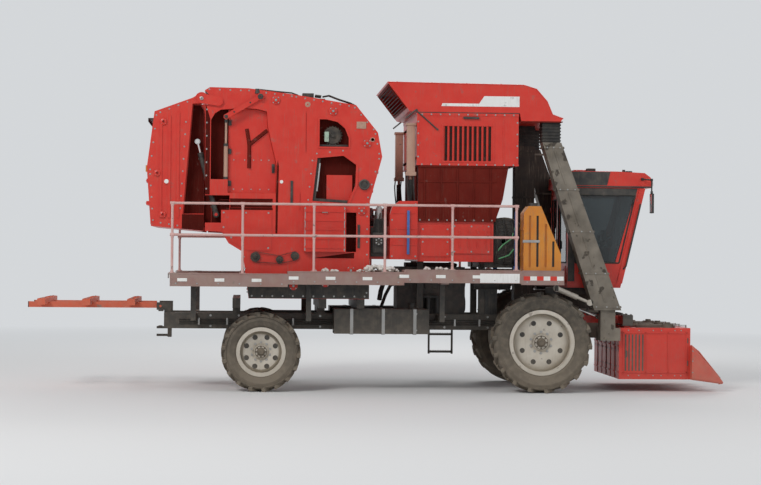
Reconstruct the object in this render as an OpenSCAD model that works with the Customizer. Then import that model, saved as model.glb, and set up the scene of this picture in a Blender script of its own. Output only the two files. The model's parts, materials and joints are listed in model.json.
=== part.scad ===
// Self-propelled cotton harvester with an on-board round baler.
// X points forward, Y to the machine's left and Z up. The origin is on the
// ground, halfway along the machine's length and width.

/* [Overall] */
// Distance between the front and the rear axle
wheelbase = 4400; // [4200:50:4600]
// From the front axle forward to the divider tips
front_overhang = 3000; // [2900:50:3300]
// From the rear axle back to the end of the bale ramp
rear_overhang = 3700; // [3500:50:4200]
// Half of the width over the deck skirts
half_width = 1770; // [1750:10:1900]

/* [Wheels] */
// Front tyre radius, out to the lug tips
front_tyre_r = 790; // [760:5:800]
// Front tyre width
front_tyre_w = 430; // [380:10:440]
// Front rim radius
front_rim_r = 500; // [440:10:520]
// Front wheel centre, sideways from the middle
front_wheel_y = 1350; // [1340:5:1380]
// Rear tyre radius, out to the lug tips
rear_tyre_r = 620; // [580:5:630]
// Rear tyre width
rear_tyre_w = 380; // [320:10:400]
// Rear rim radius
rear_rim_r = 370; // [330:10:400]
// Rear wheel centre, sideways from the middle
rear_wheel_y = 1300; // [1290:5:1320]
// Lugs around each tyre
lug_count = 18; // [14:1:22]
// How far the lugs stand out of the tread
lug_h = 38; // [20:2:45]
// Steering pivot, sideways from the middle
kingpin_y = 1000; // [990:5:1010]

/* [Chassis] */
// Middle of each frame rail, sideways
rail_y = 550; // [530:5:560]
// Rail width
rail_w = 120; // [100:5:130]
// Rail height
rail_h = 250; // [220:10:260]
// Underside of the rails above the ground
rail_z = 950; // [940:5:970]
// Front end of the rails, ahead of the front axle
rail_front = 450; // [400:10:480]
// Rear axle beam height, square
beam = 160; // [140:5:180]

/* [Baler] */
// Outer face of the baler's side walls, sideways from the middle
baler_y = 1250; // [1200:10:1260]
// Thickness of the side walls with their stiffening
wall_t = 60; // [40:5:70]
// Thickness of the covers between the walls
cover_t = 40; // [30:5:50]
// Underside of the side walls
baler_z = 1450; // [1430:5:1470]
// Radius of the rollers that the forming belts run on
roller_r = 70; // [50:5:80]

/* [Cotton handling] */
// Half of the width of the accumulator and the hood
box_y = 1300; // [1260:10:1310]
// Sheet thickness of the accumulator, hopper and hood
sheet = 30; // [20:5:40]
// Underside of the accumulator box
box_z = 3570; // [3550:10:3600]
// Top edge of the accumulator box, where the hood sits
hood_z = 4400; // [4390:5:4410]
// Openings in each louvre panel
louvre_count = 10; // [6:1:12]
// Air duct centre, sideways from the middle
duct_y = 1100; // [1090:5:1120]
// Air duct width across the machine
duct_w = 300; // [280:10:310]
// Air duct wall
duct_t = 10; // [6:1:14]

/* [Cab] */
// Half of the cab's width
cab_y = 850; // [820:5:860]
// Cab floor height
cab_z = 1650; // [1640:5:1660]
// Cab wall thickness
cab_t = 50; // [40:2:60]
// Glass thickness
glass_t = 8; // [5:1:10]

/* [Picking units] */
// Distance between crop rows
row_pitch = 760; // [750:5:800]
// Half of one picking unit's width
unit_half = 340; // [335:1:345]
// Sheet thickness of the unit cabinets
unit_t = 12; // [8:1:14]
// Half of the width of the crop passage
throat_half = 55; // [50:1:60]
// Height of the crop passage
throat_h = 600; // [560:10:620]
// Rotor radius without its spindles
drum_r = 90; // [80:1:95]
// How far each picking spindle stands out of the rotor
spindle_l = 45; // [35:1:50]
// Spindle bars around each rotor
bar_count = 12; // [8:1:14]

/* [Decks] */
// Inner edge of the side decks
deck_in = 1270; // [1265:5:1290]
// Deck plate thickness
deck_t = 50; // [40:5:60]
// Height of the top handrail above the deck
rail_top = 1080; // [1000:20:1120]
// Handrail tube radius
tube_r = 20; // [16:1:24]

/* [Fits] */
// Radial clearance of a shaft in its bore
run_fit = 0.05; // [0.03:0.01:0.1]
// Gap between pieces seated against each other
seat_gap = 0.3; // [0.2:0.05:0.4]
// Clearance between panels that move past each other
move_gap = 20; // [15:1:22]

/* [Hidden] */
$fn = 48;

overall_l = front_overhang + wheelbase + rear_overhang;
front_axle_x = overall_l / 2 - front_overhang;
rear_end_x = -(wheelbase + rear_overhang);
rail_top_z = rail_z + rail_h;

// Ramp hinge and rear end of the rails
ramp_hinge = [rear_end_x + 2100, 1300];
ramp_slats = [200, 900, 1600];
rail_rear_x = ramp_hinge[0] + 60;

// Tailgate hinge and the line where the baler splits, as [x, z]
gate_hinge = [-5360, 4570];
split_top = [-5310, 4700];
split_low = [-5290, 2500];

// Header lift pivot, the lift cylinder's two pins, as [x, z]
lift_pivot = [100, 1150];
lift_base = [280, 1450];
lift_eye = [1000, 1190];
arm_y = 690;
arm_w = 80;
lift_cyl_y = 800;

// Tailgate cylinder pins, as [x, z]
gate_cyl_base = [-5120, 2760];
gate_cyl_eye = [-5420, 3900];
gate_cyl_y = baler_y - wall_t - 60;
// Inner plates that carry the tailgate cylinders
cyl_plate_y = gate_cyl_y - 70;
cyl_plate_t = 40;

// Picking unit box: rear face, front face, underside and top
unit_x0 = 1300;
unit_x1 = 2450;
unit_z0 = 200;
unit_z1 = 1020;
// Rotor centres: front one right of the row, rear one left of it
drum_side = throat_half + 100;
drum_front_x = 2120;
drum_rear_x = 1640;
drum_shaft_r = 20;

// Cab outline, seen from the side, as [x, z]
cab_rear_x = 500;
cab_top_z = 3260;
cab_outline = [[cab_rear_x, cab_z], [1360, cab_z], [1730, cab_top_z], [cab_rear_x, cab_top_z]];
door_y0 = 220;
door_y1 = 780;
door_z0 = 1720;
door_z1 = 3150;
door_hinge = [cab_rear_x - 15, 800];

// Points of the polygon pulled inwards by t; the polygon runs anticlockwise
function side_line(a, b, t) = let (d = (b - a) / norm(b - a)) [a + t * [-d[1], d[0]], d];
function meet(p, q) = p[0] + p[1] * cross(q[0] - p[0], q[1]) / cross(p[1], q[1]);
function inset(p, t) = let (n = len(p)) [for (i = [0:n - 1])
    meet(side_line(p[(i + n - 1) % n], p[i], t), side_line(p[i], p[(i + 1) % n], t))];
function between(a, b, f) = a + (b - a) * f;

module at_front_axle() translate([front_axle_x, 0, 0]) children();
module both_sides() {
    children();
    mirror([0, 1, 0]) children();
}
// Side outline in X and Z, extruded sideways from y0 to y1
module slab(y0, y1) translate([0, y1, 0]) rotate([90, 0, 0]) linear_extrude(y1 - y0) children();
module box(lo, hi) translate(lo) cube(hi - lo);
// Cylinder along Y from y0 to y1 about [x, z]
module shaft(c, r, y0, y1) translate([c[0], y1, c[1]]) rotate([90, 0, 0]) cylinder(r = r, h = y1 - y0);
module tube(a, b, r) {
    d = b - a;
    translate(a) rotate([0, acos(d[2] / norm(d)), atan2(d[1], d[0])]) cylinder(r = r, h = norm(d));
}

// Frame

module frame() color("#3b3a3a") at_front_axle() difference() {
    union() {
        both_sides() {
            box([rail_rear_x, rail_y - rail_w / 2, rail_z], [rail_front, rail_y + rail_w / 2, rail_top_z]);
            // Lift arm pin and lift cylinder bracket
            shaft(lift_pivot, 35, rail_y, arm_y + arm_w / 2 + 10);
            box([lift_base[0] - 80, rail_y - rail_w / 2, rail_top_z - 1],
                [lift_base[0] + 80, rail_y + rail_w / 2, lift_base[1] + 60]);
            shaft(lift_base, 25, rail_y, lift_cyl_y + 50);
            // Cab carrier
            box([lift_base[0] + 79, rail_y - rail_w / 2, cab_z - 110],
                [1200, rail_y + rail_w / 2, cab_z - seat_gap]);
            box([lift_base[0] - 80, rail_y - rail_w / 2, lift_base[1] + 59],
                [lift_base[0] + 80, rail_y + rail_w / 2, cab_z - seat_gap]);
            // Posts under the feeder
            for (x = [-1900, -900])
                box([x, rail_y - 50, rail_top_z - 1], [x + 100, rail_y + 50, feeder_z0 - seat_gap]);
            // Deck brackets
            for (x = deck_bracket_x) {
                box([x, rail_y, rail_top_z - 100], [x + 80, deck_in + 60, rail_top_z]);
                box([x, deck_in - 10, rail_top_z - 100], [x + 80, deck_in + 60, deck_low_z - seat_gap]);
            }
            // Ramp hinge lugs
            box([ramp_hinge[0] - 60, rail_y - 40, ramp_hinge[1] - 60],
                [rail_rear_x + 100, rail_y, ramp_hinge[1] + 60]);
            box([rail_rear_x, rail_y - 40, rail_top_z - 10], [rail_rear_x + 100, rail_y, ramp_hinge[1] + 60]);
        }
        // Cross members
        for (x = [rail_rear_x + 40, -4600, -3300, -2120, -1300, -700, 250])
            box([x, -rail_y, rail_z + 40], [x + 120, rail_y, rail_top_z - 60]);
        // Baler cradle
        for (x = [-4850, -3500, -2900]) {
            box([x, -rail_y - rail_w / 2, rail_top_z - 10],
                [x + 120, rail_y + rail_w / 2, baler_z - seat_gap]);
            box([x, -baler_y, rail_top_z + 100], [x + 120, baler_y, baler_z - seat_gap]);
        }
        // Tow hitch at the rear
        box([hitch_x - 60, -50, hitch_z - 80], [rail_rear_x + 100, 50, hitch_z - 45]);
        box([hitch_x - 60, -50, hitch_z + 45], [rail_rear_x + 100, 50, hitch_z + 80]);
        box([rail_rear_x + 40, -120, hitch_z - 90], [rail_rear_x + 100, 120, rail_z + 90]);
    }
    translate([hitch_x, 0, hitch_z - 100]) cylinder(r = hitch_r, h = 200);
    both_sides() shaft(ramp_hinge, 20 + run_fit, rail_y - 60, rail_y + 20);
}
hitch_x = ramp_hinge[0] - 20;
hitch_z = 880;
hitch_r = 16;
feeder_z0 = 2050;
deck_low_z = 1700;
deck_bracket_x = [-5500, -3700, -1600];

// Axles and wheels

module front_axle() color("#32302f") at_front_axle() {
    shaft([0, front_tyre_r], 125, -hub_in, hub_in);
    translate([0, 0, front_tyre_r]) sphere(r = 200);
    both_sides() {
        box([-140, rail_y - 70, front_tyre_r - 30], [140, rail_y + 70, rail_z - seat_gap]);
        shaft([0, front_tyre_r], front_spindle_r, hub_in - 1, front_wheel_y + 60);
    }
}
hub_in = front_wheel_y - front_tyre_w / 2 - 60;
front_spindle_r = 60;
rear_spindle_r = 45;

module rear_axle() color("#32302f") translate([front_axle_x - wheelbase, 0, 0]) difference() {
    union() {
        box([-beam / 2, -kingpin_y, rear_tyre_r - beam / 2], [beam / 2, kingpin_y, rear_tyre_r + beam / 2]);
        both_sides() {
            translate([0, kingpin_y, rear_tyre_r - 100]) cylinder(r = 75, h = 200);
            box([-100, 100, rear_tyre_r], [100, 260, rail_z + 40 - seat_gap]);
        }
        box([-100, -rail_y - 40, rail_z - 120], [100, rail_y + 40, rail_z - seat_gap]);
        box([-60, -101, rear_tyre_r], [60, 101, rail_z - 20]);
    }
    both_sides() translate([0, kingpin_y, rear_tyre_r - 101]) cylinder(r = 30 + run_fit, h = 202);
    both_sides() box([-101, -101, rail_z - seat_gap], [101, 300, rail_z + 200]);
}

module knuckle() translate([front_axle_x - wheelbase, kingpin_y, rear_tyre_r]) {
    translate([0, 0, -140]) cylinder(r = 30, h = 280);
    for (z = [-140, 105]) box([-65, -60, z], [65, 120, z + 35]);
    box([-65, 90, -140], [65, 125, 140]);
    translate([0, 100, 0]) rotate([-90, 0, 0])
        cylinder(r = rear_spindle_r, h = rear_wheel_y + 60 - kingpin_y - 100);
}
module knuckle_left() color("#3f3d3b") knuckle();
module knuckle_right() color("#3f3d3b") mirror([0, 1, 0]) knuckle();

// Tyre of radius r, width w and bore b, with its axis along Z
module tyre(r, w, b) {
    tread = r - lug_h;
    rotate_extrude($fn = 144)
        polygon([[b, -w * 0.36], [b + 20, -w * 0.36], [b + 45, -w * 0.42], [tread - 90, -w / 2],
        [tread - 20, -w * 0.44], [tread, -w * 0.3], [tread, w * 0.3], [tread - 20, w * 0.44],
        [tread - 90, w / 2], [b + 45, w * 0.42], [b + 20, w * 0.36], [b, w * 0.36]]);
    for (i = [0:lug_count - 1], s = [0, 1])
        rotate(360 * (i + s / 2) / lug_count) mirror([0, 0, s]) intersection() {
            translate([tread - 30, 0, w * 0.24]) rotate([35, 0, 0]) translate([0, -24, -w * 0.3])
                cube([lug_h + 29, 48, w * 0.62]);
            translate([0, 0, -20]) cylinder(r = r, h = w * 0.5 + 20 - 6, $fn = 144);
        }
}
// Rim with its disc and hub; the bore runs on a spindle of radius s
module rim(r, w, s, dish) rotate_extrude($fn = 144) polygon([[s + run_fit, dish - 60], [s + 60, dish - 60],
    [s + 60, dish - 10], [r - 40, dish - 10], [r - 40, -w * 0.38], [r + 15, -w * 0.38],
        [r + 15, -w * 0.36 - seat_gap],
    [r - seat_gap, -w * 0.36 - seat_gap], [r - seat_gap, w * 0.36 + seat_gap],
        [r + 15, w * 0.36 + seat_gap], [r + 15, w * 0.38], [r - 40, w * 0.38],
    [r - 40, dish + 10], [s + 60, dish + 10], [s + 60, dish + 60], [s + run_fit, dish + 60]]);
module wheel_place(x, y, r) translate([x, y, r]) rotate([-90, 0, 0]) children();
module front_wheel_place(side) wheel_place(front_axle_x, side * front_wheel_y, front_tyre_r)
    rotate([side < 0 ? 180 : 0, 0, 0]) children();
module rear_wheel_place(side) wheel_place(front_axle_x - wheelbase, side * rear_wheel_y, rear_tyre_r)
    rotate([side < 0 ? 180 : 0, 0, 0]) children();
module front_tyre() tyre(front_tyre_r, front_tyre_w, front_rim_r);
module rear_tyre() tyre(rear_tyre_r, rear_tyre_w, rear_rim_r);
module front_rim() rim(front_rim_r, front_tyre_w, front_spindle_r, 0);
module rear_rim() rim(rear_rim_r, rear_tyre_w, rear_spindle_r, 0);
module front_tyre_right() color("#26241f") front_wheel_place(-1) front_tyre();
module front_tyre_left() color("#26241f") front_wheel_place(1) front_tyre();
module rear_tyre_right() color("#26241f") rear_wheel_place(-1) rear_tyre();
module rear_tyre_left() color("#26241f") rear_wheel_place(1) rear_tyre();
module front_rim_right() color("#b8b0a0") front_wheel_place(-1) front_rim();
module front_rim_left() color("#b8b0a0") front_wheel_place(1) front_rim();
module rear_rim_right() color("#b8b0a0") rear_wheel_place(-1) rear_rim();
module rear_rim_left() color("#b8b0a0") rear_wheel_place(1) rear_rim();

// Engine and tanks

module engine_block() color("#4a4a4a") at_front_axle()
    box([-2200, -380, 1140 + seat_gap], [-1100, 380, 1960]);
module fuel_tank() color("#2b2b2b") at_front_axle()
    box([-3250, rail_y + rail_w / 2 + seat_gap, 900], [-1700, 1150, 1290]);
// Moulded tank that stands on the front of the right deck
module water_tank() color("#d98a1e") at_front_axle() difference() {
    slab(-1680, -1290)
        polygon([[-330, deck_top_z + seat_gap], [260, deck_top_z + seat_gap], [260, 2180], [-60, 2930],
            [-250, 2930], [-330, 2820]]);
    for (x = [-250, -130, 0, 120])
        box([x, -1681, deck_top_z + 60], [x + 36, -1655, 2780 - max(0, x + 60) * 2.2]);
}
// Hydraulic oil tank on the right, with its filler
module oil_tank() color("#232323") at_front_axle() mirror([0, 1, 0]) {
    box([-3250, rail_y + rail_w / 2 + seat_gap, 900], [-1750, 1150, 1290]);
    translate([-2000, 900, 1289]) cylinder(r = 60, h = 70);
}
deck_top_z = 1920;
landing_z = 1700;

// Decks, handrails and ladder

// Deck sections, as [rear x, front x, top z]
deck_sections = [[-5810, -4000, 1840], [-4000, -2200, 1880], [-2200, -370, 1920]];
skirt_h = 200;
module deck() {
    for (s = deck_sections) {
        box([s[0], deck_in, s[2] - deck_t], [s[1] + 1, half_width, s[2]]);
        box([s[0], half_width - 40, s[2] - skirt_h], [s[1] + 1, half_width, s[2]]);
    }
    box([-371, deck_in, deck_top_z - deck_t], [300, half_width, deck_top_z]);
    box([-371, half_width - 40, deck_top_z - 220], [300, half_width, deck_top_z]);
    for (x = deck_bracket_x) box([x - 20, deck_in, deck_low_z], [x + 100, half_width - 20, 1850]);
}
module deck_right() color("#c4301c") at_front_axle() mirror([0, 1, 0]) deck();
module deck_left() color("#c4301c") at_front_axle() {
    deck();
    // Landing behind the cab
    box([-300, 250, landing_z - deck_t], [cab_rear_x - 20, deck_in + 1, landing_z]);
    box([-300, deck_in - 30, landing_z - deck_t], [200, deck_in + 20, deck_top_z - 10]);
}
// Handrail runs, as [side, post places along the deck]
rail_runs = [[-1, [-5780, -4700, -3600, -2500, -1450, -450]], [1, [-5780, -4700, -3600, -2500, -1600]],
    [1, [-950, -450]]];
rail_line_y = half_width - 20 - tube_r;
rail_line_z = deck_sections[0][2] + rail_top;
function deck_z(x) = x < deck_sections[0][1] ? deck_sections[0][2]
    : x < deck_sections[1][1] ? deck_sections[1][2] : deck_sections[2][2];
module handrails() color("#e3d5d2") at_front_axle() for (run = rail_runs) {
    y = run[0] * rail_line_y;
    places = run[1];
    for (z = [rail_line_z, rail_line_z - rail_top * 0.45])
        tube([places[0], y, z], [places[len(places) - 1], y, z], tube_r);
    for (x = places) tube([x, y, deck_z(x) + seat_gap], [x, y, rail_line_z], tube_r);
}
module ladder() color("#3b3a3a") at_front_axle() {
    for (x = [-1500, -1100])
        box([x, half_width - 120, 450], [x + 30, half_width - 60, deck_top_z - deck_t - seat_gap]);
    for (z = [470 : 300 : 1500]) box([-1480, half_width - 160, z], [-1090, half_width - 20, z + 30]);
}

// Accumulator, hopper, hood and feeder

box_x0 = -1980;
box_x1 = -370;
louvre_x0 = -1540;
module accumulator() color("#d23018") at_front_axle() difference() {
    box([box_x0, -box_y, box_z], [box_x1, box_y, hood_z]);
    box([box_x0 + sheet, -box_y + sheet, box_z - 1], [box_x1 - sheet, box_y - sheet, hood_z + 1]);
    for (i = [0:louvre_count - 1])
        box([louvre_x0 + i * 770 / louvre_count, -box_y - 1, 3640],
            [louvre_x0 + (i + 0.55) * 770 / louvre_count, box_y + 1, 4185]);
}
hopper_outline = [[-1950, 2680], [-730, 2680], [-610, 3040], [-520, box_z], [-1950, box_z]];
module hopper() color("#6d1712") at_front_axle() difference() {
    slab(-box_y + 20, box_y - 20) polygon(hopper_outline);
    slab(-box_y + 20 + sheet, box_y - 20 - sheet) polygon([for (p = inset(hopper_outline, sheet))
        [p[0], p[1] > 3000 && p[1] < 3100 ? p[1] : p[1] > 3100 ? box_z + 1 : 2679]]);
}
hood_rear_low = [-2100, 4420];
hood_rear_top = [-2450, 4870];
hood_outline = [[box_x0, hood_z], [-350, hood_z], [-330, 4280], [300, 4280], [340, 4330], [170, 4390],
    [80, 4600], [-90, 4790], [-290, 4850], hood_rear_top, hood_rear_low];
module hood() color("#e2341a") at_front_axle() difference() {
    slab(-box_y, box_y) polygon(hood_outline);
    slab(-box_y + sheet, box_y - sheet) polygon(inset(hood_outline, sheet));
    box([box_x0 + sheet, -box_y + sheet, hood_z - 1], [box_x1 - sheet, box_y - sheet, hood_z + sheet + 1]);
    // Rear outlet behind the grille
    slab(-grille_y, grille_y) grille_band(grille_at[0], grille_at[1], -1, sheet + 1);
    // Duct inlets
    for (y = [-duct_y, 0, duct_y])
        box([-10 - (y == 0 ? 250 : 0), y - duct_w / 2, 4270],
        [260 - (y == 0 ? 200 : 0), y + duct_w / 2, 4280 + sheet + 1]);
}
// Rear outlet of the hood: half its width, and its ends as distances up the slanted face
grille_y = box_y - 120;
grille_at = [100, 500];
grille_bars = 8;
grille_up = (hood_rear_top - hood_rear_low) / norm(hood_rear_top - hood_rear_low);
grille_in = [grille_up[1], -grille_up[0]];
// Band of the slanted face from a to b up it, and from d0 to d1 into the hood
module grille_band(a, b, d0, d1) polygon([for (c = [[a, d0], [a, d1], [b, d1], [b, d0]])
    hood_rear_low + grille_up * c[0] + grille_in * c[1]]);
module hood_grille() color("#1d1d1d") at_front_axle() for (i = [0:grille_bars - 1]) {
    a = grille_at[0] + (grille_at[1] - grille_at[0]) * (i + 0.5) / grille_bars;
    slab(-grille_y + seat_gap, grille_y - seat_gap) grille_band(a, a + 8, 0, sheet);
}
module feeder() color("#b02818") at_front_axle() {
    box([-1950, -box_y + 60, feeder_z0], [-750, box_y - 60, 2680 - seat_gap]);
    box([-2690, -1050, 2080], [-1949, 1050, 2600]);
    both_sides() slab(1049, 1290)
        polygon([[-2390, 2080], [-1956, 2080], [-1956, 3000], [-2240, 3000], [-2350, 2920], [-2390, 2780]]);
    // Pressed panels and ribs on the feeder's sides
    both_sides() {
        box([-1900, box_y - 61, 2130], [-1450, box_y - 45, 2600]);
        box([-1400, box_y - 61, 2180], [-800, box_y - 38, 2640]);
    }
}

// Baler

body_outline = [[-4600, baler_z], [-2710, baler_z], [-2710, 2990], [-2520, 3690], [-2590, 4070],
    [-2940, 4500],
    [-3890, 4650], [-4630, 4740], [-5230, 4750], split_top, split_low, [-5030, 2490], [-4920, 2310],
        [-4700, 2180]];
gate_outline = [split_low + [-move_gap, 0], between(split_low, split_top, 0.87) + [-move_gap, 0],
    gate_hinge + [-60, 60], [-5500, 4580], [-6090, 4360], [-6200, 3500], [-6130, 2570]];
ear_gap = 6;
ear_t = 30;
ear_foot = [260, -40];
ear_r = 75;
// From the ear's middle line to its edge
ear_side = ear_r * [-ear_foot[1], ear_foot[0]] / norm(ear_foot);

// Openings and pockets in each side wall, as side outlines
chamber_window = [[-5210, 3310], [-4940, 3310], [-4940, 4410], [-5060, 4400], [-5150, 4340], [-5210, 4240]];
panel_pocket = [[-4941, 3100], [-4190, 3100], [-4175, 3520], [-4320, 4140], [-4340, 4380], [-4500, 4420],
    [-4700, 4430], [-4941, 4410]];
cylinder_recess = [[-5400, 2630], [-4910, 2630], [-4910, 3060], [-5400, 3060]];
belt_slot = [[-4900, 2870], [-4240, 2870], [-4240, 2965], [-4900, 2965]];
upper_window = [[-3510, 3840], [-3050, 3840], [-3050, 3980], [-3110, 4130], [-3230, 4230], [-3400, 4270],
    [-3510, 4270]];
lower_window = [[-3615, 2985], [-3060, 2950], [-2940, 3240], [-2930, 3560], [-3130, 3700], [-3540, 3660]];
guard_panel = [[-3390, 2890], [-2985, 2890], [-2985, 3400], [-3390, 3400]];
drive_gap = [[-3080, 2190], [-2920, 2190], [-2920, 2810], [-3080, 2810]];
lower_box = [[-5040, 2540], [-4880, 2340], [-4620, 2200], [-4250, 2200], [-4250, 2830], [-5040, 2830]];
// Seams pressed into the side walls, as [from, to]
wall_seams = [[[-4182, 3080], [-4182, 2480]], [[-3806, 3105], [-3806, 2840]], [[-3720, 4370], [-3720, 3750]]];
// Ribs on the recessed panel, as [from, to]
panel_ribs = [[[-4650, 4110], [-4610, 3860]], [[-4330, 4090], [-4610, 3860]], [[-4610, 3880], [-4610, 3490]]];
pocket_d = 100;
skin_t = 30;
rib_h = 14;
panel_rib_h = 34;
panel_rib_w = 16;
// Band of half width w along a line
module strip(line, w) {
    n = w * [-(line[1] - line[0])[1], (line[1] - line[0])[0]] / norm(line[1] - line[0]);
    polygon([line[0] + n, line[1] + n, line[1] - n, line[0] - n]);
}
module baler_walls() color("#cf2e18") at_front_axle() both_sides() {
    // Ribs on the recessed panel
    for (l = panel_ribs) slab(baler_y - pocket_d - 1, baler_y - pocket_d + panel_rib_h) strip(l, panel_rib_w);
    difference() {
        union() {
            slab(baler_y - wall_t, baler_y) difference() {
                polygon(body_outline);
                translate(gate_hinge) circle(r = 130);
            }
            // Backs of the recessed panel and of the lower window
            slab(baler_y - pocket_d - skin_t, baler_y - wall_t + 1) {
                polygon(inset(panel_pocket, -30));
                polygon(guard_panel);
            }
            // Plate that carries the tailgate cylinder, and the cylinder's pin
            slab(cyl_plate_y - cyl_plate_t, cyl_plate_y)
                polygon([[-5200, 2600], [-4850, 2600], [-4850, 3000], [-5060, 3000], [-5200, 2860]]);
            box([-4900, cyl_plate_y - cyl_plate_t, 2600], [-4850, baler_y - wall_t + 1, 3000]);
            shaft(gate_cyl_base, 25, cyl_plate_y - 1, gate_cyl_y + 40);
            // Hinge ear beside the tailgate
            slab(baler_y + ear_gap, baler_y + ear_gap + ear_t) {
                translate(gate_hinge) circle(r = ear_r);
                translate(gate_hinge + ear_foot) circle(r = ear_r);
                polygon([gate_hinge + ear_side, gate_hinge + ear_foot + ear_side,
                    gate_hinge + ear_foot - ear_side, gate_hinge - ear_side]);
            }
            slab(baler_y - 1, baler_y + ear_gap + 1) translate(gate_hinge + ear_foot) circle(r = ear_r - 15);
            // Raised panels, frame of the lower window and roller bearings
            slab(baler_y - 1, baler_y + rib_h) {
                polygon(lower_box);
                difference() {
                    polygon(inset(lower_window, -35));
                    polygon(lower_window);
                }
                difference() {
                    polygon(inset(upper_window, -25));
                    polygon(upper_window);
                }
                for (p = body_rollers) translate(p) circle(r = roller_r - 10);
            }
        }
        slab(baler_y - pocket_d, baler_y + 1) polygon(panel_pocket);
        slab(baler_y - pocket_d, baler_y + 1) polygon(lower_window);
        slab(baler_y - pocket_d - skin_t - 1, baler_y + 1) polygon(chamber_window);
        slab(baler_y - wall_t - 1, baler_y + 1) {
            polygon(cylinder_recess);
            polygon(upper_window);
            polygon(drive_gap);
            translate([-2675, 3960]) circle(r = 25);
        }
        slab(baler_y - 40, baler_y + rib_h + 1) polygon(belt_slot);
        for (l = wall_seams) slab(baler_y - 15, baler_y + 1) strip(l, 7);
        slab(baler_y - 1, baler_y + ear_gap + ear_t + 1) translate(gate_hinge) circle(r = 30 + run_fit);
    }
}
module baler_covers() color("#c42c18") at_front_axle() difference() {
    slab(-baler_y + wall_t + seat_gap, baler_y - wall_t - seat_gap) difference() {
        polygon(body_outline);
        polygon(inset(body_outline, cover_t));
        translate(gate_hinge) circle(r = 130);
        // Open to the tailgate at the rear and to the bale's way out below
        polygon([split_top + [-60, 60], split_top + [60, -160], split_low + [300, -300], [-4700, 1400],
            [-5400, 1400], [-5400, 4800]]);
        // Inlet from the feeder
        polygon([[-2760, 2060], [-2660, 2060], [-2660, 2620], [-2760, 2620]]);
    }
}
// Rollers inside the baler body, as [x, z]
body_rollers = [[-3000, 1900], [-3400, 1700], [-3900, 1650], [-2840, 2840], [-2760, 3900], [-3300, 4400],
    [-4200, 4560], [-3620, 2860]];
module roller_set(places) for (p = places)
    shaft(p, roller_r, -baler_y + wall_t + seat_gap, baler_y - wall_t - seat_gap);
module baler_rollers() color("#8b8b88") at_front_axle() roller_set(body_rollers);
gate_rollers = [[-5950, 4200], [-6040, 3400], [-5950, 2750], [-5420, 2635]];
// Side recess of the tailgate, where its cylinder runs
gate_recess = [[-5640, 2760], [-5200, 2760], [-5200, 4490], [-5500, 4490]];
// Ribs on the tailgate's side panels, as [x, low end, high end]
gate_ribs = [[-5985, 2700, 4240], [-5850, 2700, 4290], [-5715, 2700, 4350]];
module tailgate() color("#cf2e18") at_front_axle() difference() {
    union() {
        both_sides() {
            slab(baler_y - wall_t, baler_y) union() {
                polygon(gate_outline);
                translate(gate_hinge) circle(r = 100);
            }
            shaft(gate_hinge, 30, baler_y - 1, baler_y + ear_gap + ear_t + 4);
            slab(cyl_plate_y - cyl_plate_t, baler_y - wall_t + 1) intersection() {
                polygon(gate_outline);
                polygon(inset(gate_recess, -45));
            }
            slab(baler_y - 1, baler_y + rib_h) for (r = gate_ribs) strip([[r[0], r[1]], [r[0], r[2]]], 18);
            shaft([-5895, 3267], 45, baler_y - 1, baler_y + rib_h);
        }
        slab(-baler_y + 1, baler_y - 1) difference() {
            polygon(gate_outline);
            polygon(inset(gate_outline, cover_t));
            polygon([split_low + [-60, -200], split_low + [200, -200], split_top + [200, 100],
                split_top + [-130, 100], split_low + [-90, 200]]);
        }
        // Cross ribs on the rear panel
        for (z = [2900 : 350 : 3350]) box([-6210, -baler_y + 100, z], [-6150, baler_y - 100, z + 60]);
    }
    both_sides() slab(cyl_plate_y, baler_y + 1) polygon(gate_recess);
}
module tailgate_rollers() color("#8b8b88") at_front_axle() roller_set(gate_rollers);
cover_ribs = 5;
module drive_cover() color("#b92a17") at_front_axle() mirror([0, 1, 0]) {
    box([-3750, baler_y + rib_h + seat_gap, 2190], [-3090, baler_y + 110, 2900]);
    for (i = [0:cover_ribs - 1]) {
        z = 2190 + 710 * (i + 0.5) / cover_ribs;
        box([-3730, baler_y + 109, z - 20], [-3110, baler_y + 122, z + 20]);
    }
}
// Belt tension cylinder and arm on each side wall
tension_foot = [-4975, 3310 + seat_gap];
tension_eye = [-4975, 4290];
tension_pivot = [-4440, 4610];
tension_y = baler_y - 50;
module tension_gear() color("#c9a59b") at_front_axle() both_sides() {
    translate([tension_foot[0], tension_y, tension_foot[1]]) cylinder(r = 33, h = 560);
    translate([tension_foot[0], tension_y, tension_foot[1] + 559])
        cylinder(r = 18, h = tension_eye[1] - tension_foot[1] - 559);
    shaft(tension_eye, 40, tension_y - 30, baler_y + rib_h + 26);
    slab(baler_y + rib_h, baler_y + rib_h + 25) strip([tension_eye, tension_pivot], 38);
    shaft(tension_pivot, 55, baler_y + seat_gap, baler_y + rib_h + 40);
}

// Hydraulic cylinders: the base eye is at the origin and the rod points along X
module barrel(r, rod_r, l, pin_r) rotate([90, 0, 0]) difference() {
    union() {
        translate([0, 0, -30]) cylinder(r = pin_r + 22, h = 60);
        translate([pin_r + 10, 0, 0]) rotate([0, 90, 0]) cylinder(r = r, h = l - pin_r - 10);
    }
    translate([0, 0, -31]) cylinder(r = pin_r + run_fit, h = 62);
    translate([pin_r + 40, 0, 0]) rotate([0, 90, 0]) cylinder(r = rod_r + 0.3, h = l);
}
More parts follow.
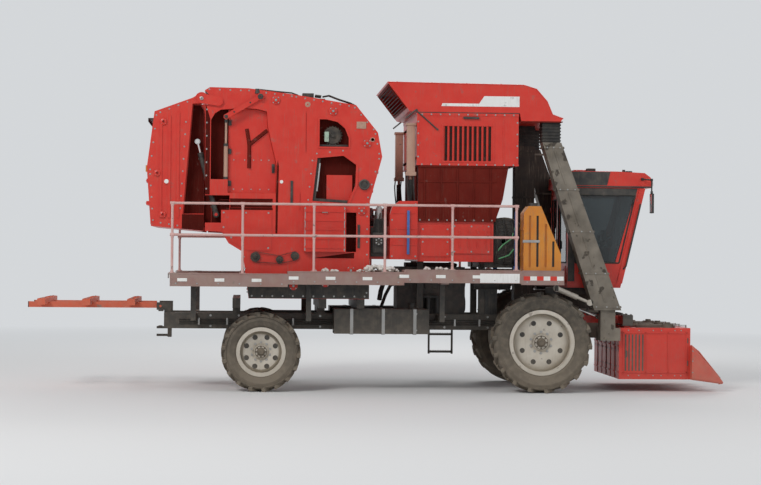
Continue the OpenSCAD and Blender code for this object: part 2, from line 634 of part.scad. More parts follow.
// Rod with its eye at x = l and a pin of length p towards the piece it moves
module rod(rod_r, x0, l, p) rotate([90, 0, 0]) {
    translate([x0, 0, 0]) rotate([0, 90, 0]) cylinder(r = rod_r, h = l - x0);
    translate([l, 0, -30]) cylinder(r = rod_r + 20, h = 60);
    translate([l, 0, 0]) cylinder(r = 25, h = p);
}
module cylinder_place(base, eye, y) translate([base[0], y, base[1]])
    rotate([0, -atan2(eye[1] - base[1], eye[0] - base[0]), 0]) children();
gate_cyl_l = norm(gate_cyl_eye - gate_cyl_base);
lift_cyl_l = norm(lift_eye - lift_base);
module tailgate_barrels() color("#2a2a2a") at_front_axle() both_sides()
    cylinder_place(gate_cyl_base, gate_cyl_eye, gate_cyl_y) barrel(42, 22, 1000, 25);
module tailgate_rods() color("#d9d9d9") at_front_axle() both_sides()
    cylinder_place(gate_cyl_base, gate_cyl_eye, gate_cyl_y)
        rod(22, 90, gate_cyl_l, gate_cyl_y - cyl_plate_y - 6);
module lift_barrels() color("#2a2a2a") at_front_axle() both_sides()
    cylinder_place(lift_base, lift_eye, lift_cyl_y) barrel(40, 20, 430, 25);
module lift_rods() color("#d9d9d9") at_front_axle() both_sides()
    cylinder_place(lift_base, lift_eye, lift_cyl_y)
        rod(20, 150, lift_cyl_l, lift_cyl_y - arm_y - arm_w / 2 - 6);

// Air ducts

// Side duct outline, as [x, z]
duct_outline = [[868, 1300], [1303, 1300], [320, 3950], [20, 3950]];
mid_outline = [[-260, 1300], [1290, 1300], [1290, 1600], [60, 1600], [60, 3950], [-260, 3950]];
module ducts() color("#8f8a80") at_front_axle() {
    both_sides() difference() {
        slab(duct_y - duct_w / 2, duct_y + duct_w / 2) polygon(duct_outline);
        slab(duct_y - duct_w / 2 + duct_t, duct_y + duct_w / 2 - duct_t)
            polygon([for (p = inset(duct_outline, duct_t)) [p[0], p[1] < 2000 ? 1290 : 3960]]);
    }
    difference() {
        slab(-duct_w / 2, duct_w / 2) polygon(mid_outline);
        slab(-duct_w / 2 + duct_t, duct_w / 2 - duct_t) polygon([for (p = inset(mid_outline, duct_t))
            [p[0], p[1] > 3000 ? 3960 : p[1]]]);
        box([880, -duct_w / 2 + duct_t, 1290], [1290 - duct_t, duct_w / 2 - duct_t, 1320]);
    }
}
module duct_boots() color("#1b1b1b") at_front_axle() for (d = [[-duct_y, 0], [0, -260], [duct_y, 0]])
    difference() {
    box([20 + d[1], d[0] - duct_w / 2, 3950 + seat_gap],
        [300 + d[1] + (d[0] == 0 ? 20 : 0), d[0] + duct_w / 2, 4280 - seat_gap]);
    box([20 + d[1] + 15, d[0] - duct_w / 2 + 15, 3949], [300 + d[1] - 15, d[0] + duct_w / 2 - 15, 4281]);
}

// Cab

side_window = [for (p = inset(cab_outline, 110)) [p[0], p[1] < 2000 ? 2050 : p[1]]];
shield_a = between(cab_outline[1], cab_outline[2], 0.10);
shield_b = between(cab_outline[1], cab_outline[2], 0.94);
module shield_band(near, far)
    polygon([shield_a + [-far, 0], shield_a + [-near, 0], shield_b + [-near, 0], shield_b + [-far, 0]]);
module cab_shell() color("#c12a17") at_front_axle() difference() {
    union() {
        slab(-cab_y, cab_y) polygon(cab_outline);
        // Door hinge pins
        for (z = [1900, 2900]) translate([door_hinge[0], door_hinge[1], z]) {
            cylinder(r = 8, h = 70);
            box([-14, -14, -20], [cab_rear_x - door_hinge[0] + 1, 14, 0]);
        }
    }
    slab(-cab_y + cab_t, cab_y - cab_t) polygon(inset(cab_outline, cab_t));
    slab(-cab_y - 1, cab_y + 1) polygon(side_window);
    slab(-cab_y + 90, cab_y - 90) shield_band(-60, 120);
    box([cab_rear_x - 1, door_y0 - 8, door_z0 - 8], [cab_rear_x + cab_t + 1, door_y1 + 8, door_z1 + 8]);
    box([cab_rear_x - 1, -720, 2050], [cab_rear_x + cab_t + 1, 100, 3100]);
}
module cab_glass() color([0.1, 0.12, 0.14, 0.5]) at_front_axle() {
    both_sides() slab(cab_y - 30, cab_y - 30 + glass_t) polygon(inset(side_window, seat_gap));
    slab(-cab_y + 90 + seat_gap, cab_y - 90 - seat_gap) shield_band(20, 20 + glass_t);
    box([cab_rear_x + 20, -720 + seat_gap, 2050 + seat_gap],
        [cab_rear_x + 20 + glass_t, 100 - seat_gap, 3100 - seat_gap]);
}
module cab_roof() color("#a82414") at_front_axle() slab(-cab_y - 20, cab_y + 20)
    polygon([[450, cab_top_z + seat_gap], [1860, cab_top_z + seat_gap], [1860, 3380], [1835, 3430],
        [1740, 3500], [1300, 3520], [560, 3520], [460, 3440]]);
module cab_door() color("#c12a17") at_front_axle() {
    difference() {
        box([cab_rear_x, door_y0, door_z0], [cab_rear_x + cab_t, door_y1, door_z1]);
        box([cab_rear_x - 1, door_y0 + 60, 2050], [cab_rear_x + cab_t + 1, door_y1 - 60, door_z1 - 60]);
    }
    for (z = [1900, 2900]) translate([door_hinge[0], door_hinge[1], z]) difference() {
        union() {
            translate([0, 0, 5]) cylinder(r = 14, h = 60);
            box([-10, -60, 5], [16, -24, 65]);
            box([-10, -25, 5], [14.5, -8, 65]);
        }
        cylinder(r = 8 + run_fit, h = 80);
    }
}
module door_glass() color([0.1, 0.12, 0.14, 0.5]) at_front_axle()
    box([cab_rear_x + 20, door_y0 + 60 + seat_gap, 2050 + seat_gap],
        [cab_rear_x + 20 + glass_t, door_y1 - 60 - seat_gap, door_z1 - 60 - seat_gap]);
module seat() color("#3a3a40") at_front_axle() {
    z = cab_z + cab_t + seat_gap;
    box([720, -120, z], [900, 120, z + 330]);
    box([650, -240, z + 329], [1050, 240, z + 450]);
    box([620, -230, z + 400], [730, 230, z + 1050]);
}
module console() color("#242424") at_front_axle() {
    z = cab_z + cab_t + seat_gap;
    box([1210, -90, z], [1300, 90, z + 620]);
    translate([1190, 0, z + 700]) rotate([0, -25, 0]) rotate_extrude() translate([180, 0]) circle(r = 14);
    tube([1250, 0, z + 500], [1190, 0, z + 700], 30);
    tube([1190, -180, z + 700], [1190, 180, z + 700], 12);
    box([700, -480, z], [1150, -300, z + 560]);
}

// Mirrors and lamps

module mirrors() color("#202020") at_front_axle() both_sides() {
    box([1680, cab_y + 20 + seat_gap, 3380], [1720, cab_y + 34, 3420]);
    tube([1700, cab_y + 30, 3400], [1800, 1130, 3380], 12);
    tube([1800, 1130, 3388], [1800, 1130, 3150], 12);
    box([1785, 1050, 2850], [1815, 1210, 3160]);
}
module lamps() color("#e8e6df") at_front_axle() {
    for (y = [-700, -450, 450, 700])
        box([1860 + seat_gap, y - 60, cab_top_z + 30], [1900, y + 60, cab_top_z + 110]);
    both_sides() box([-5830, half_width - 160, 1770], [-5810 - seat_gap, half_width - 40, 1840]);
}

// Header

arm_z = lift_pivot[1];
bar_x0 = 1370;
bar_x1 = 1520;
bar_z0 = 1060;
bar_z1 = 1210;
row_y = [-row_pitch, 0, row_pitch];
module toolbar() color("#a02616") at_front_axle() {
    box([bar_x0, -row_pitch - 300, bar_z0], [bar_x1, row_pitch + 300, bar_z1]);
    both_sides() difference() {
        union() {
            slab(arm_y - arm_w / 2, arm_y + arm_w / 2) {
                translate(lift_pivot) circle(r = 75);
                polygon([[lift_pivot[0], arm_z - 55], [bar_x0 + 1, bar_z0 + 20], [bar_x0 + 1, bar_z1 - 10],
                    [lift_pivot[0], arm_z + 55]]);
            }
        }
        shaft(lift_pivot, 35 + run_fit, arm_y - arm_w / 2 - 1, arm_y + arm_w / 2 + 1);
    }
    // Hangers down to the units
    for (y = row_y, s = [-1, 1])
        box([bar_x0 + 30, y + s * 200 - 40, unit_z1 + seat_gap], [bar_x1 - 30, y + s * 200 + 40, bar_z0 + 1]);
}
module picking_units() color("#c42c18") at_front_axle() for (y = row_y) translate([0, y, 0]) difference() {
    box([unit_x0, -unit_half, unit_z0], [unit_x1, unit_half, unit_z1]);
    box([unit_x0 + unit_t, -unit_half + unit_t, unit_z0 + unit_t],
        [unit_x1 - unit_t, unit_half - unit_t, unit_z1 - unit_t]);
    box([unit_x0 - 1, -throat_half, unit_z0 - 1], [unit_x1 + 1, throat_half, unit_z0 + throat_h]);
    for (d = [[drum_front_x, -drum_side], [drum_rear_x, drum_side]])
        translate([d[0], d[1], unit_z0 - 1]) cylinder(r = drum_shaft_r + run_fit, h = unit_z1 - unit_z0 + 2);
    // Air outlet to the duct neck
    box([unit_x0 - 1, y > 0 ? neck_in + 20 - y : y < 0 ? -unit_half + 40 : -90, outlet_z[0]],
        [unit_x0 + unit_t + 1, y > 0 ? unit_half - 40 : y < 0 ? -neck_in - 20 - y : 90, outlet_z[1]]);
}
module dividers() color("#d8d4cc") at_front_axle() {
    for (y = [-row_pitch / 2, row_pitch / 2]) divider(y, row_pitch / 2 - throat_half - 30);
    for (s = [-1, 1]) divider(s * (row_pitch + throat_half + 30 + 205), 205);
}
module divider(y, half) translate([0, y, 0]) hull() {
    for (s = [-1, 1], z = [unit_z0 + 40, 700]) translate([unit_x1 + seat_gap, s * (half - 60), z])
        rotate([0, 90, 0]) cylinder(r = 40, h = 10, $fn = 16);
    translate([front_overhang - 25, 0, 150]) sphere(r = 25, $fn = 16);
}
// Necks between the units and the ducts; they slide in the duct mouths
neck_x0 = 980;
neck_x1 = 1215;
neck_half = 105;
neck_in = 800;
neck_t = 10;
outlet_z = [845, 990];
// Necks, as [side, inner edge, top]
necks = [[-1, neck_in, 1430], [0, -neck_half, 1345], [1, neck_in, 1430]];
module neck(n) mirror([0, n[0] < 0 ? 1 : 0, 0]) {
    y = abs(n[0]) * duct_y;
    difference() {
        union() {
            box([neck_x0, y - neck_half, outlet_z[0] - 30], [neck_x1, y + neck_half, n[2]]);
            box([neck_x0, n[1], outlet_z[0] - 30], [unit_x0 - seat_gap, y + neck_half, outlet_z[1] + 25]);
        }
        box([neck_x0 + neck_t, y - neck_half + neck_t, outlet_z[0]],
            [neck_x1 - neck_t, y + neck_half - neck_t, n[2] + 1]);
        box([neck_x0 + neck_t, n[1] + neck_t, outlet_z[0] - 20],
            [unit_x0 + 1, y + neck_half - neck_t, outlet_z[1] + 15]);
    }
}
module unit_necks() color("#8f8a80") at_front_axle() for (n = necks) neck(n);
module rotor(row, front)
    translate([front_axle_x + (front ? drum_front_x : drum_rear_x),
    row * row_pitch + (front ? -drum_side : drum_side), 0]) {
    translate([0, 0, unit_z0 + 1]) cylinder(r = drum_shaft_r, h = unit_z1 - unit_z0 - 2);
    for (z = [unit_z0 + 35, 560, 900]) translate([0, 0, z]) cylinder(r = drum_r - 15, h = 20);
    for (i = [0:bar_count - 1]) rotate(360 * i / bar_count) {
        translate([drum_r - 14, 0, unit_z0 + 35]) cylinder(r = 14, h = 885 - unit_z0);
        for (z = [300:120:780]) translate([drum_r - 14, 0, z]) rotate([0, 90, 0])
            cylinder(r1 = 9, r2 = 5, h = spindle_l);
    }
}
module rotor_right_front() color("#9a9a98") rotor(-1, true);
module rotor_right_rear() color("#9a9a98") rotor(-1, false);
module rotor_middle_front() color("#9a9a98") rotor(0, true);
module rotor_middle_rear() color("#9a9a98") rotor(0, false);
module rotor_left_front() color("#9a9a98") rotor(1, true);
module rotor_left_rear() color("#9a9a98") rotor(1, false);

// Bale ramp

ramp_y = 620;
module bale_ramp() color("#d2431f") at_front_axle() {
    shaft(ramp_hinge, 20, -rail_y, rail_y);
    both_sides() {
        box([rear_end_x, rail_y - 140, 1270], [ramp_hinge[0] - 100, rail_y - 60, 1360]);
        box([ramp_hinge[0] - 101, rail_y - 140, 1270], [ramp_hinge[0] + 20, rail_y - 60, 1330]);
    }
    for (d = ramp_slats) box([rear_end_x + d, -1000, 1321], [rear_end_x + d + 120, 1000, 1420]);
}

frame();
front_axle();
rear_axle();
knuckle_right();
knuckle_left();
front_tyre_right();
front_rim_right();
front_tyre_left();
front_rim_left();
rear_tyre_right();
rear_rim_right();
rear_tyre_left();
rear_rim_left();
engine_block();
fuel_tank();
oil_tank();
deck_right();
deck_left();
handrails();
ladder();
accumulator();
hopper();
hood();
hood_grille();
feeder();
baler_walls();
baler_covers();
baler_rollers();
tailgate();
tailgate_rollers();
drive_cover();
tension_gear();
tailgate_barrels();
tailgate_rods();
ducts();
duct_boots();
cab_shell();
cab_roof();
cab_glass();
cab_door();
door_glass();
seat();
console();
water_tank();
mirrors();
lamps();
toolbar();
picking_units();
dividers();
unit_necks();
rotor_right_front();
rotor_right_rear();
rotor_middle_front();
rotor_middle_rear();
rotor_left_front();
rotor_left_rear();
lift_barrels();
lift_rods();
bale_ramp();
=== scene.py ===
"""Cotton harvester with a round baler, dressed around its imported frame.

Every length is in metres in the frame's own axes: +X forward, +Y to the machine's left, +Z up.
"""
import json
import logging
import math
import random
from collections.abc import Callable
from dataclasses import dataclass
from enum import Enum
from functools import cache

import bmesh
import bpy
from mathutils import Matrix, Vector


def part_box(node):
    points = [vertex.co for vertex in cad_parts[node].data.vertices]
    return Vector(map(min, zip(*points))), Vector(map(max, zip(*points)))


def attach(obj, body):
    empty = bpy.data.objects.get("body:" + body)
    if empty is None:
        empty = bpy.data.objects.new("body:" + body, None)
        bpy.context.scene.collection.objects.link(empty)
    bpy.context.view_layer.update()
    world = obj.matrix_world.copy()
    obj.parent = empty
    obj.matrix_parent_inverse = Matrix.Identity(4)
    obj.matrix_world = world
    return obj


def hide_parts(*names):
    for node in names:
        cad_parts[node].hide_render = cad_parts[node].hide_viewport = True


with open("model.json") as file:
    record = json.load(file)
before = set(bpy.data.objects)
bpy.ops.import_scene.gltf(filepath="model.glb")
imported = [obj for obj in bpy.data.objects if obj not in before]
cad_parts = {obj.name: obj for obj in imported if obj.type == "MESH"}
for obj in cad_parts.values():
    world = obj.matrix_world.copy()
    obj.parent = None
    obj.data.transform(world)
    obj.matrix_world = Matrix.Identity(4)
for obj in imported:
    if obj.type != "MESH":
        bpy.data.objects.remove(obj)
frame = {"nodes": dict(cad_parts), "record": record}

logging.basicConfig(level=logging.INFO, format="%(message)s")
LOG = logging.getLogger("cotton_harvester")

Point = tuple[float, float, float] | Vector
Place = tuple[float, float]
Colour = tuple[float, float, float]
Socket = bpy.types.NodeSocket
Material = bpy.types.Material

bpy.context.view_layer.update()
FRONT_AXLE_X = (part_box("front_rim_right")[0].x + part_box("front_rim_right")[1].x) / 2
DUST: Colour = (0.36, 0.29, 0.21)


class Side(Enum):
    """The two sides of the machine, as the sign of Y."""

    RIGHT = -1
    LEFT = 1


class Axis(Enum):
    """Axes that a round piece can point along."""

    X = 0
    Y = 1
    Z = 2


class Wiring:
    """Adds nodes to one node tree and links them."""

    def __init__(self, tree: bpy.types.NodeTree) -> None:
        """Starts on a tree."""
        self.tree = tree

    def fill(self, node: bpy.types.Node, inputs: dict[str | int, object]) -> None:
        """Gives a node's inputs a number, a colour or the socket that feeds them.

        Args:
            node: the node.
            inputs: what each input gets.
        """
        for key, value in inputs.items():
            socket = node.inputs[key]
            if isinstance(value, Socket):
                self.tree.links.new(value, socket)
            else:
                socket.default_value = (*value, 1.0) if socket.type == "RGBA" else value

    def node(self, kind: str, inputs: dict[str | int, object], **settings: object) -> bpy.types.Node:
        """Adds a node.

        Args:
            kind: its type without the word ShaderNode.
            inputs: what each of its inputs gets.
            settings: its own options.

        Returns:
            The node.
        """
        node = self.tree.nodes.new(f"ShaderNode{kind}")
        for key, value in settings.items():
            setattr(node, key, value)
        self.fill(node, inputs)
        return node

    def place(self) -> Socket:
        """Gives the place on the surface in the piece's own metres."""
        return self.node("TexCoord", {}).outputs["Object"]

    def noise(self, stretch: Point, detail: float = 6.0, scale: Socket | float = 5.0) -> Socket:
        """Adds a noise texture in the piece's own metres, with a scale along each axis and as a whole."""
        spread = self.node("Mapping", {"Vector": self.place(), "Scale": stretch}).outputs["Vector"]
        return self.node("TexNoise", {"Vector": spread, "Detail": detail, "Scale": scale}).outputs["Fac"]

    def ramp(self, source: Socket, low: float, high: float | Socket, start: float = 0.0,
            end: float = 1.0) -> Socket:
        """Stretches a value so that low gives the start and high gives the end."""
        inputs = {"Value": source, "From Min": low, "From Max": high, "To Min": start, "To Max": end}
        return self.node("MapRange", inputs).outputs["Result"]

    def math(self, kind: str, a: Socket | float, b: Socket | float) -> Socket:
        """Adds a math node, whose operation is its kind and whose result stays between 0 and 1."""
        return self.node("Math", {0: a, 1: b}, operation=kind, use_clamp=True).outputs[0]

    def mix(self, mask: Socket, base: Socket | Colour, over: Socket | Colour) -> Socket:
        """Lays a colour over another where the mask says so."""
        return self.node("Mix", {"Factor": mask, "A": base, "B": over}, data_type="RGBA").outputs["Result"]

    def share(self, effect: bpy.types.NodeTree, inputs: dict[str, float | Colour]) -> Socket:
        """Places a shared effect with its own values and gives its output."""
        return self.node("Group", inputs, node_tree=effect).outputs[0]


class Group(Wiring):
    """A node group that several finishes share, while it is built."""

    def __init__(self, name: str, inputs: dict[str, float | Colour], output: str,
            kind: str = "Float") -> None:
        """Opens a group.

        Args:
            name: the group's name.
            inputs: its input sockets with their defaults; a tuple makes a colour socket.
            output: the name of its one output.
            kind: "Float" or "Color", what the output is.
        """
        super().__init__(bpy.data.node_groups.new(name, "ShaderNodeTree"))
        for key, value in inputs.items():
            colour = isinstance(value, tuple)
            socket = self.tree.interface.new_socket(
                key, in_out="INPUT", socket_type="NodeSocketColor" if colour else "NodeSocketFloat")
            socket.default_value = (*value, 1.0) if colour else value
        self.tree.interface.new_socket(output, in_out="OUTPUT", socket_type=f"NodeSocket{kind}")
        self.inputs = self.tree.nodes.new("NodeGroupInput").outputs
        self.result = self.tree.nodes.new("NodeGroupOutput").inputs[0]

    def close(self, value: Socket) -> bpy.types.NodeTree:
        """Sends a value to the output and gives the finished group."""
        self.tree.links.new(value, self.result)
        return self.tree


class Effects:
    """The shared effects, each built once."""

    @staticmethod
    @cache
    def settled_dust() -> bpy.types.NodeTree:
        """Dust that lies on faces that look up and in patches elsewhere."""
        group = Group("settled_dust", {"Amount": 0.3, "Low Height": 1.2}, "Mask")
        normal = group.node("NewGeometry", {}).outputs["Normal"]
        up = group.ramp(group.node("SeparateXYZ", {0: normal}).outputs["Z"], 0.2, 0.95)
        patch = group.ramp(group.noise((2.2, 2.2, 2.2)), 0.42, 0.72)
        height = group.node("SeparateXYZ", {0: group.place()}).outputs["Z"]
        low = group.ramp(height, 0.0, group.inputs["Low Height"], 0.9, 0.0)
        both = group.math("ADD", group.math("MULTIPLY", up, 0.75), group.math("MULTIPLY", patch, 0.35))
        return group.close(group.math("MULTIPLY", group.math("ADD", both, low), group.inputs["Amount"]))

    @staticmethod
    @cache
    def tone_shift() -> bpy.types.NodeTree:
        """A colour that wanders a little lighter and darker over the surface."""
        inputs = {"Colour": (0.5, 0.5, 0.5), "Faded": (0.6, 0.6, 0.6), "Amount": 0.3}
        group = Group("tone_shift", inputs, "Colour", "Color")
        patch = group.ramp(group.noise((0.9, 0.9, 0.9), 4.0), 0.3, 0.7)
        mask = group.math("MULTIPLY", patch, group.inputs["Amount"])
        return group.close(group.mix(mask, group.inputs["Colour"], group.inputs["Faded"]))

    @staticmethod
    @cache
    def rain_streaks() -> bpy.types.NodeTree:
        """Thin vertical streaks where dirty water has run down."""
        group = Group("rain_streaks", {"Amount": 0.3}, "Mask")
        thin = group.ramp(group.noise((14.0, 14.0, 0.9), 3.0), 0.52, 0.74)
        wide = group.ramp(group.noise((1.3, 1.3, 0.5), 2.0), 0.35, 0.65)
        return group.close(group.math("MULTIPLY", group.math("MULTIPLY", thin, wide),
            group.inputs["Amount"]))

    @staticmethod
    @cache
    def chips() -> bpy.types.NodeTree:
        """Chips, scratches and stains on the coat."""
        group = Group("chips", {"Amount": 0.3, "Scale": 9.0, "Edge": 0.66}, "Mask")
        grain = group.noise((1.0, 1.0, 1.0), 9.0, group.inputs["Scale"])
        spots = group.ramp(group.math("SUBTRACT", grain, group.inputs["Edge"]), 0.0, 0.04)
        return group.close(group.math("MULTIPLY", spots, group.inputs["Amount"]))

    @staticmethod
    @cache
    def waviness() -> bpy.types.NodeTree:
        """Height of slightly uneven sheet with a fine grain on it."""
        group = Group("waviness", {"Broad": 0.5, "Fine": 0.1, "Fine Scale": 160.0}, "Height")
        broad = group.math("MULTIPLY", group.noise((2.6, 2.6, 2.6), 1.0), group.inputs["Broad"])
        grain = group.noise((1.0, 1.0, 1.0), 2.0, group.inputs["Fine Scale"])
        return group.close(group.math("ADD", broad, group.math("MULTIPLY", grain, group.inputs["Fine"])))


@dataclass(frozen=True)
class Finish:
    """A surface finish with dust, streaks and chips over a base coat."""

    name: str
    colour: Colour
    faded: Colour
    roughness: float = 0.42
    under: Colour = (0.16, 0.13, 0.11)
    metallic: float = 0.0
    coat: float = 0.0
    fade: float = 0.6
    dust: float = 0.3
    dust_height: float = 1.2
    streaks: float = 0.25
    chips: float = 0.25
    chip_scale: float = 9.0
    chip_edge: float = 0.66
    bump: float = 0.25
    grain: float = 0.08
    grain_scale: float = 160.0
    shine: float = 0.5

    def build(self) -> Material:
        """Builds the finish as a material.

        Returns:
            The material.
        """
        material = bpy.data.materials.new(self.name)
        material.use_nodes = True
        tree = Wiring(material.node_tree)
        base = {"Amount": self.fade, "Colour": self.colour, "Faded": self.faded}
        chips = {"Amount": self.chips, "Scale": self.chip_scale, "Edge": self.chip_edge}
        wave = {"Broad": 0.6, "Fine": self.grain, "Fine Scale": self.grain_scale}
        dust = tree.share(Effects.settled_dust(), {"Amount": self.dust, "Low Height": self.dust_height})
        streaks = tree.share(Effects.rain_streaks(), {"Amount": self.streaks})
        colour = tree.mix(tree.share(Effects.chips(), chips), tree.share(Effects.tone_shift(), base),
            self.under)
        colour = tree.mix(dust, tree.mix(streaks, colour, tuple(c * 0.55 for c in DUST)), DUST)
        height = tree.share(Effects.waviness(), wave)
        bump = tree.node("Bump", {"Height": height, "Strength": self.bump, "Distance": 0.01})
        tree.fill(material.node_tree.nodes["Principled BSDF"], {
            "Base Color": colour, "Roughness": tree.ramp(dust, 0.0, 1.0, self.roughness, 0.9),
            "Metallic": self.metallic, "Specular IOR Level": self.shine, "Coat Weight": self.coat,
            "Coat Roughness": 0.12, "Normal": bump.outputs["Normal"]})
        return material


@dataclass(frozen=True)
class GlassFinish:
    """Tinted window glass with a thin film of dust."""

    name: str
    tint: Colour = (0.16, 0.19, 0.20)

    def build(self) -> Material:
        """Builds the glass as a material.

        Returns:
            The material.
        """
        material = bpy.data.materials.new(self.name)
        material.use_nodes = True
        tree = Wiring(material.node_tree)
        dust = tree.share(Effects.settled_dust(), {"Amount": 0.12, "Low Height": 0.5})
        tree.fill(material.node_tree.nodes["Principled BSDF"], {
            "Base Color": tree.mix(dust, self.tint, DUST), "IOR": 1.45, "Transmission Weight": 0.85,
            "Roughness": tree.ramp(dust, 0.0, 1.0, 0.03, 0.12)})
        return material


class Palette:
    """Every finish on the machine, built once: the record's slots first, then other looks."""

    FINISHES: tuple = (
        Finish("red_paint", (0.61, 0.022, 0.01), (0.68, 0.042, 0.022), 0.4, coat=0.12, dust=0.1, streaks=0.3,
            chips=0.3),
        # dark_red_paint is red paint darkened as painted shade, for faces that turn down or sit in recesses,
        # such as the hopper's walls and ribs, the louvre vanes, the hood's rear lips and the pocket's ribs.
        Finish("dark_red_paint", (0.115, 0.007, 0.003), (0.16, 0.013, 0.006), 0.65, dust=0.02, streaks=0.12,
            shine=0.15),
        Finish("ramp_paint", (0.62, 0.07, 0.02), (0.7, 0.12, 0.05), 0.5, dust=0.45, dust_height=2.0,
            chips=0.8, chip_scale=5.0),
        Finish("chassis_black", (0.018, 0.018, 0.018), (0.05, 0.046, 0.04), 0.5, dust=0.35, dust_height=1.6),
        Finish("axle_iron", (0.03, 0.028, 0.025), (0.07, 0.06, 0.05), 0.65, metallic=0.3, dust=0.55,
            dust_height=1.8, grain=0.3),
        Finish("engine_iron", (0.05, 0.05, 0.05), (0.1, 0.09, 0.08), 0.6, metallic=0.4, dust=0.4,
            grain=0.35),
        Finish("rim_paint", (0.55, 0.5, 0.42), (0.68, 0.64, 0.56), 0.45, dust=0.4, dust_height=1.6,
            chips=0.6),
        Finish("tyre", (0.016, 0.016, 0.015), (0.045, 0.043, 0.038), 0.85, dust=0.5, dust_height=1.9,
            streaks=0.0, grain=0.5, grain_scale=90.0),
        Finish("rail_paint", (0.6, 0.33, 0.3), (0.72, 0.52, 0.48), 0.45, dust=0.25, chips=0.8,
            chip_scale=14.0),
        Finish("roller_steel", (0.34, 0.34, 0.33), (0.5, 0.5, 0.49), 0.4, metallic=0.9),
        Finish("rotor_steel", (0.45, 0.45, 0.44), (0.6, 0.6, 0.58), 0.32, metallic=0.95, dust=0.25),
        Finish("rod_chrome", (0.75, 0.75, 0.74), (0.85, 0.85, 0.84), 0.08, metallic=1.0, dust=0.08,
            chips=0.0),
        Finish("duct_grey", (0.12, 0.103, 0.08), (0.24, 0.21, 0.17), 0.55, (0.035, 0.026, 0.018),
            metallic=0.2, fade=0.9, streaks=0.7, chips=0.9, chip_scale=7.0, chip_edge=0.6),
        Finish("boot_rubber", (0.012, 0.012, 0.012), (0.03, 0.03, 0.028), 0.75, dust=0.25, grain=0.4),
        Finish("seat_fabric", (0.03, 0.03, 0.035), (0.06, 0.06, 0.065), 0.9, dust=0.1, grain=0.9,
            grain_scale=420.0),
        Finish("black_plastic", (0.015, 0.015, 0.015), (0.03, 0.03, 0.03), 0.5, dust=0.25, grain=0.3,
            grain_scale=300.0),
        Finish("amber_plastic", (0.58, 0.18, 0.008), (0.66, 0.28, 0.03), 0.4, dust=0.12, streaks=0.7,
            coat=0.2),
        Finish("lamp_lens", (0.8, 0.8, 0.76), (0.9, 0.9, 0.86), 0.12, coat=0.8, dust=0.1, chips=0.0),
        Finish("deck_paint", (0.27, 0.13, 0.115), (0.33, 0.25, 0.24), 0.55, dust=0.55, dust_height=2.6,
            streaks=0.6, chips=0.9, chip_scale=5.0),
        Finish("divider_paint", (0.62, 0.04, 0.02), (0.74, 0.1, 0.06), 0.4, dust=0.4, chips=0.8,
            chip_scale=6.0),
        GlassFinish("cab_glass"),
        # A near-black maroon that paints the shade in the baler's and tailgate's recesses, slots and gaps;
        # it also colours one dark seam line.
        Finish("maroon_shade", (0.065, 0.005, 0.003), (0.1, 0.009, 0.005), 0.8, dust=0.0, streaks=0.1,
            shine=0.1),
        # A dark brown that paints the shade on the middle duct, on the left duct's faces turned to the right
        # and behind the louvres; its streaks and chips are real dirt.
        Finish("soot_brown", (0.02, 0.013, 0.01), (0.055, 0.036, 0.026), 0.7, dust=0.12, streaks=0.8,
            chips=0.5, chip_scale=4.0),
        Finish("pump_grey", (0.42, 0.44, 0.43), (0.55, 0.56, 0.54), 0.5, dust=0.25),
        Finish("pale_green", (0.34, 0.48, 0.36), (0.45, 0.56, 0.46), 0.5, dust=0.2),
        Finish("post_blue", (0.03, 0.12, 0.42), (0.08, 0.2, 0.5), 0.45, dust=0.2, chips=0.4),
        Finish("pipe_green", (0.05, 0.28, 0.1), (0.1, 0.36, 0.16), 0.45, dust=0.2),
        Finish("column_tan", (0.42, 0.24, 0.17), (0.54, 0.35, 0.26), 0.5, streaks=0.6, chips=0.7),
        Finish("sign_white", (0.8, 0.79, 0.76), (0.88, 0.87, 0.85), 0.35, dust=0.15, streaks=0.4, chips=0.3),
        Finish("cotton", (0.82, 0.8, 0.76), (0.62, 0.57, 0.5), 1.0, dust=0.1, streaks=0.0, chips=0.0,
            grain=1.0, grain_scale=60.0),
        Finish("mirror_glass", (0.75, 0.78, 0.8), (0.8, 0.82, 0.84), 0.03, metallic=1.0, dust=0.12,
            chips=0.0, bump=0.0),
        Finish("screen_glass", (0.01, 0.012, 0.015), (0.02, 0.02, 0.025), 0.12, coat=0.6, dust=0.1,
            chips=0.0, bump=0.02),
    )

    @classmethod
    @cache
    def get(cls, name: str) -> Material:
        """Gives the material of a slot or look, building it on first use."""
        return next(finish for finish in cls.FINISHES if finish.name == name).build()

    @classmethod
    def dress_nodes(cls) -> None:
        """Gives every node of the frame its finish."""
        slots = {row["node"]: row["material_slot"] for row in frame["record"]["subparts"]}
        for name, node in frame["nodes"].items():
            node.data.materials.clear()
            node.data.materials.append(cls.get(slots[name]))
            for polygon in node.data.polygons:
                polygon.use_smooth = False
            LOG.info("dressed %s in %s", name, slots[name])
        cls.add_tone("tension_gear", "column_tan", lambda place, facing: abs(place.y) <= 1.245)
        cls.add_tone("tension_gear", "red_paint", lambda place, facing: abs(place.y) > 1.245)
        # The outer faces of the pocket's ribs get dark red as painted shade.
        cls.add_tone("baler_walls", "dark_red_paint",
                     lambda place, facing: abs(facing.y) > 0.9 and abs(abs(place.y) - 1.184) < 0.002)
        # The middle duct and the left duct's faces turned to the right get dark brown as painted shade.
        cls.add_tone("ducts", "soot_brown",
                     lambda place, facing: abs(place.y) < 0.2 or place.y > 0 > facing.y)

    @classmethod
    def add_tone(cls, node: str, name: str, chosen: Callable[[Vector, Vector], bool]) -> None:
        """Gives some of a node's faces another finish.

        Args:
            node: the node's name.
            name: the other finish.
            chosen: tells from a face's middle and normal whether it gets that finish.
        """
        data = frame["nodes"][node].data
        data.materials.append(cls.get(name))
        for polygon in data.polygons:
            if chosen(polygon.center, polygon.normal):
                polygon.material_index = len(data.materials) - 1


def at(x: float, y: float, z: float) -> Vector:
    """Gives a place measured from the front axle as a place in the frame."""
    return Vector((x + FRONT_AXLE_X, y, z))


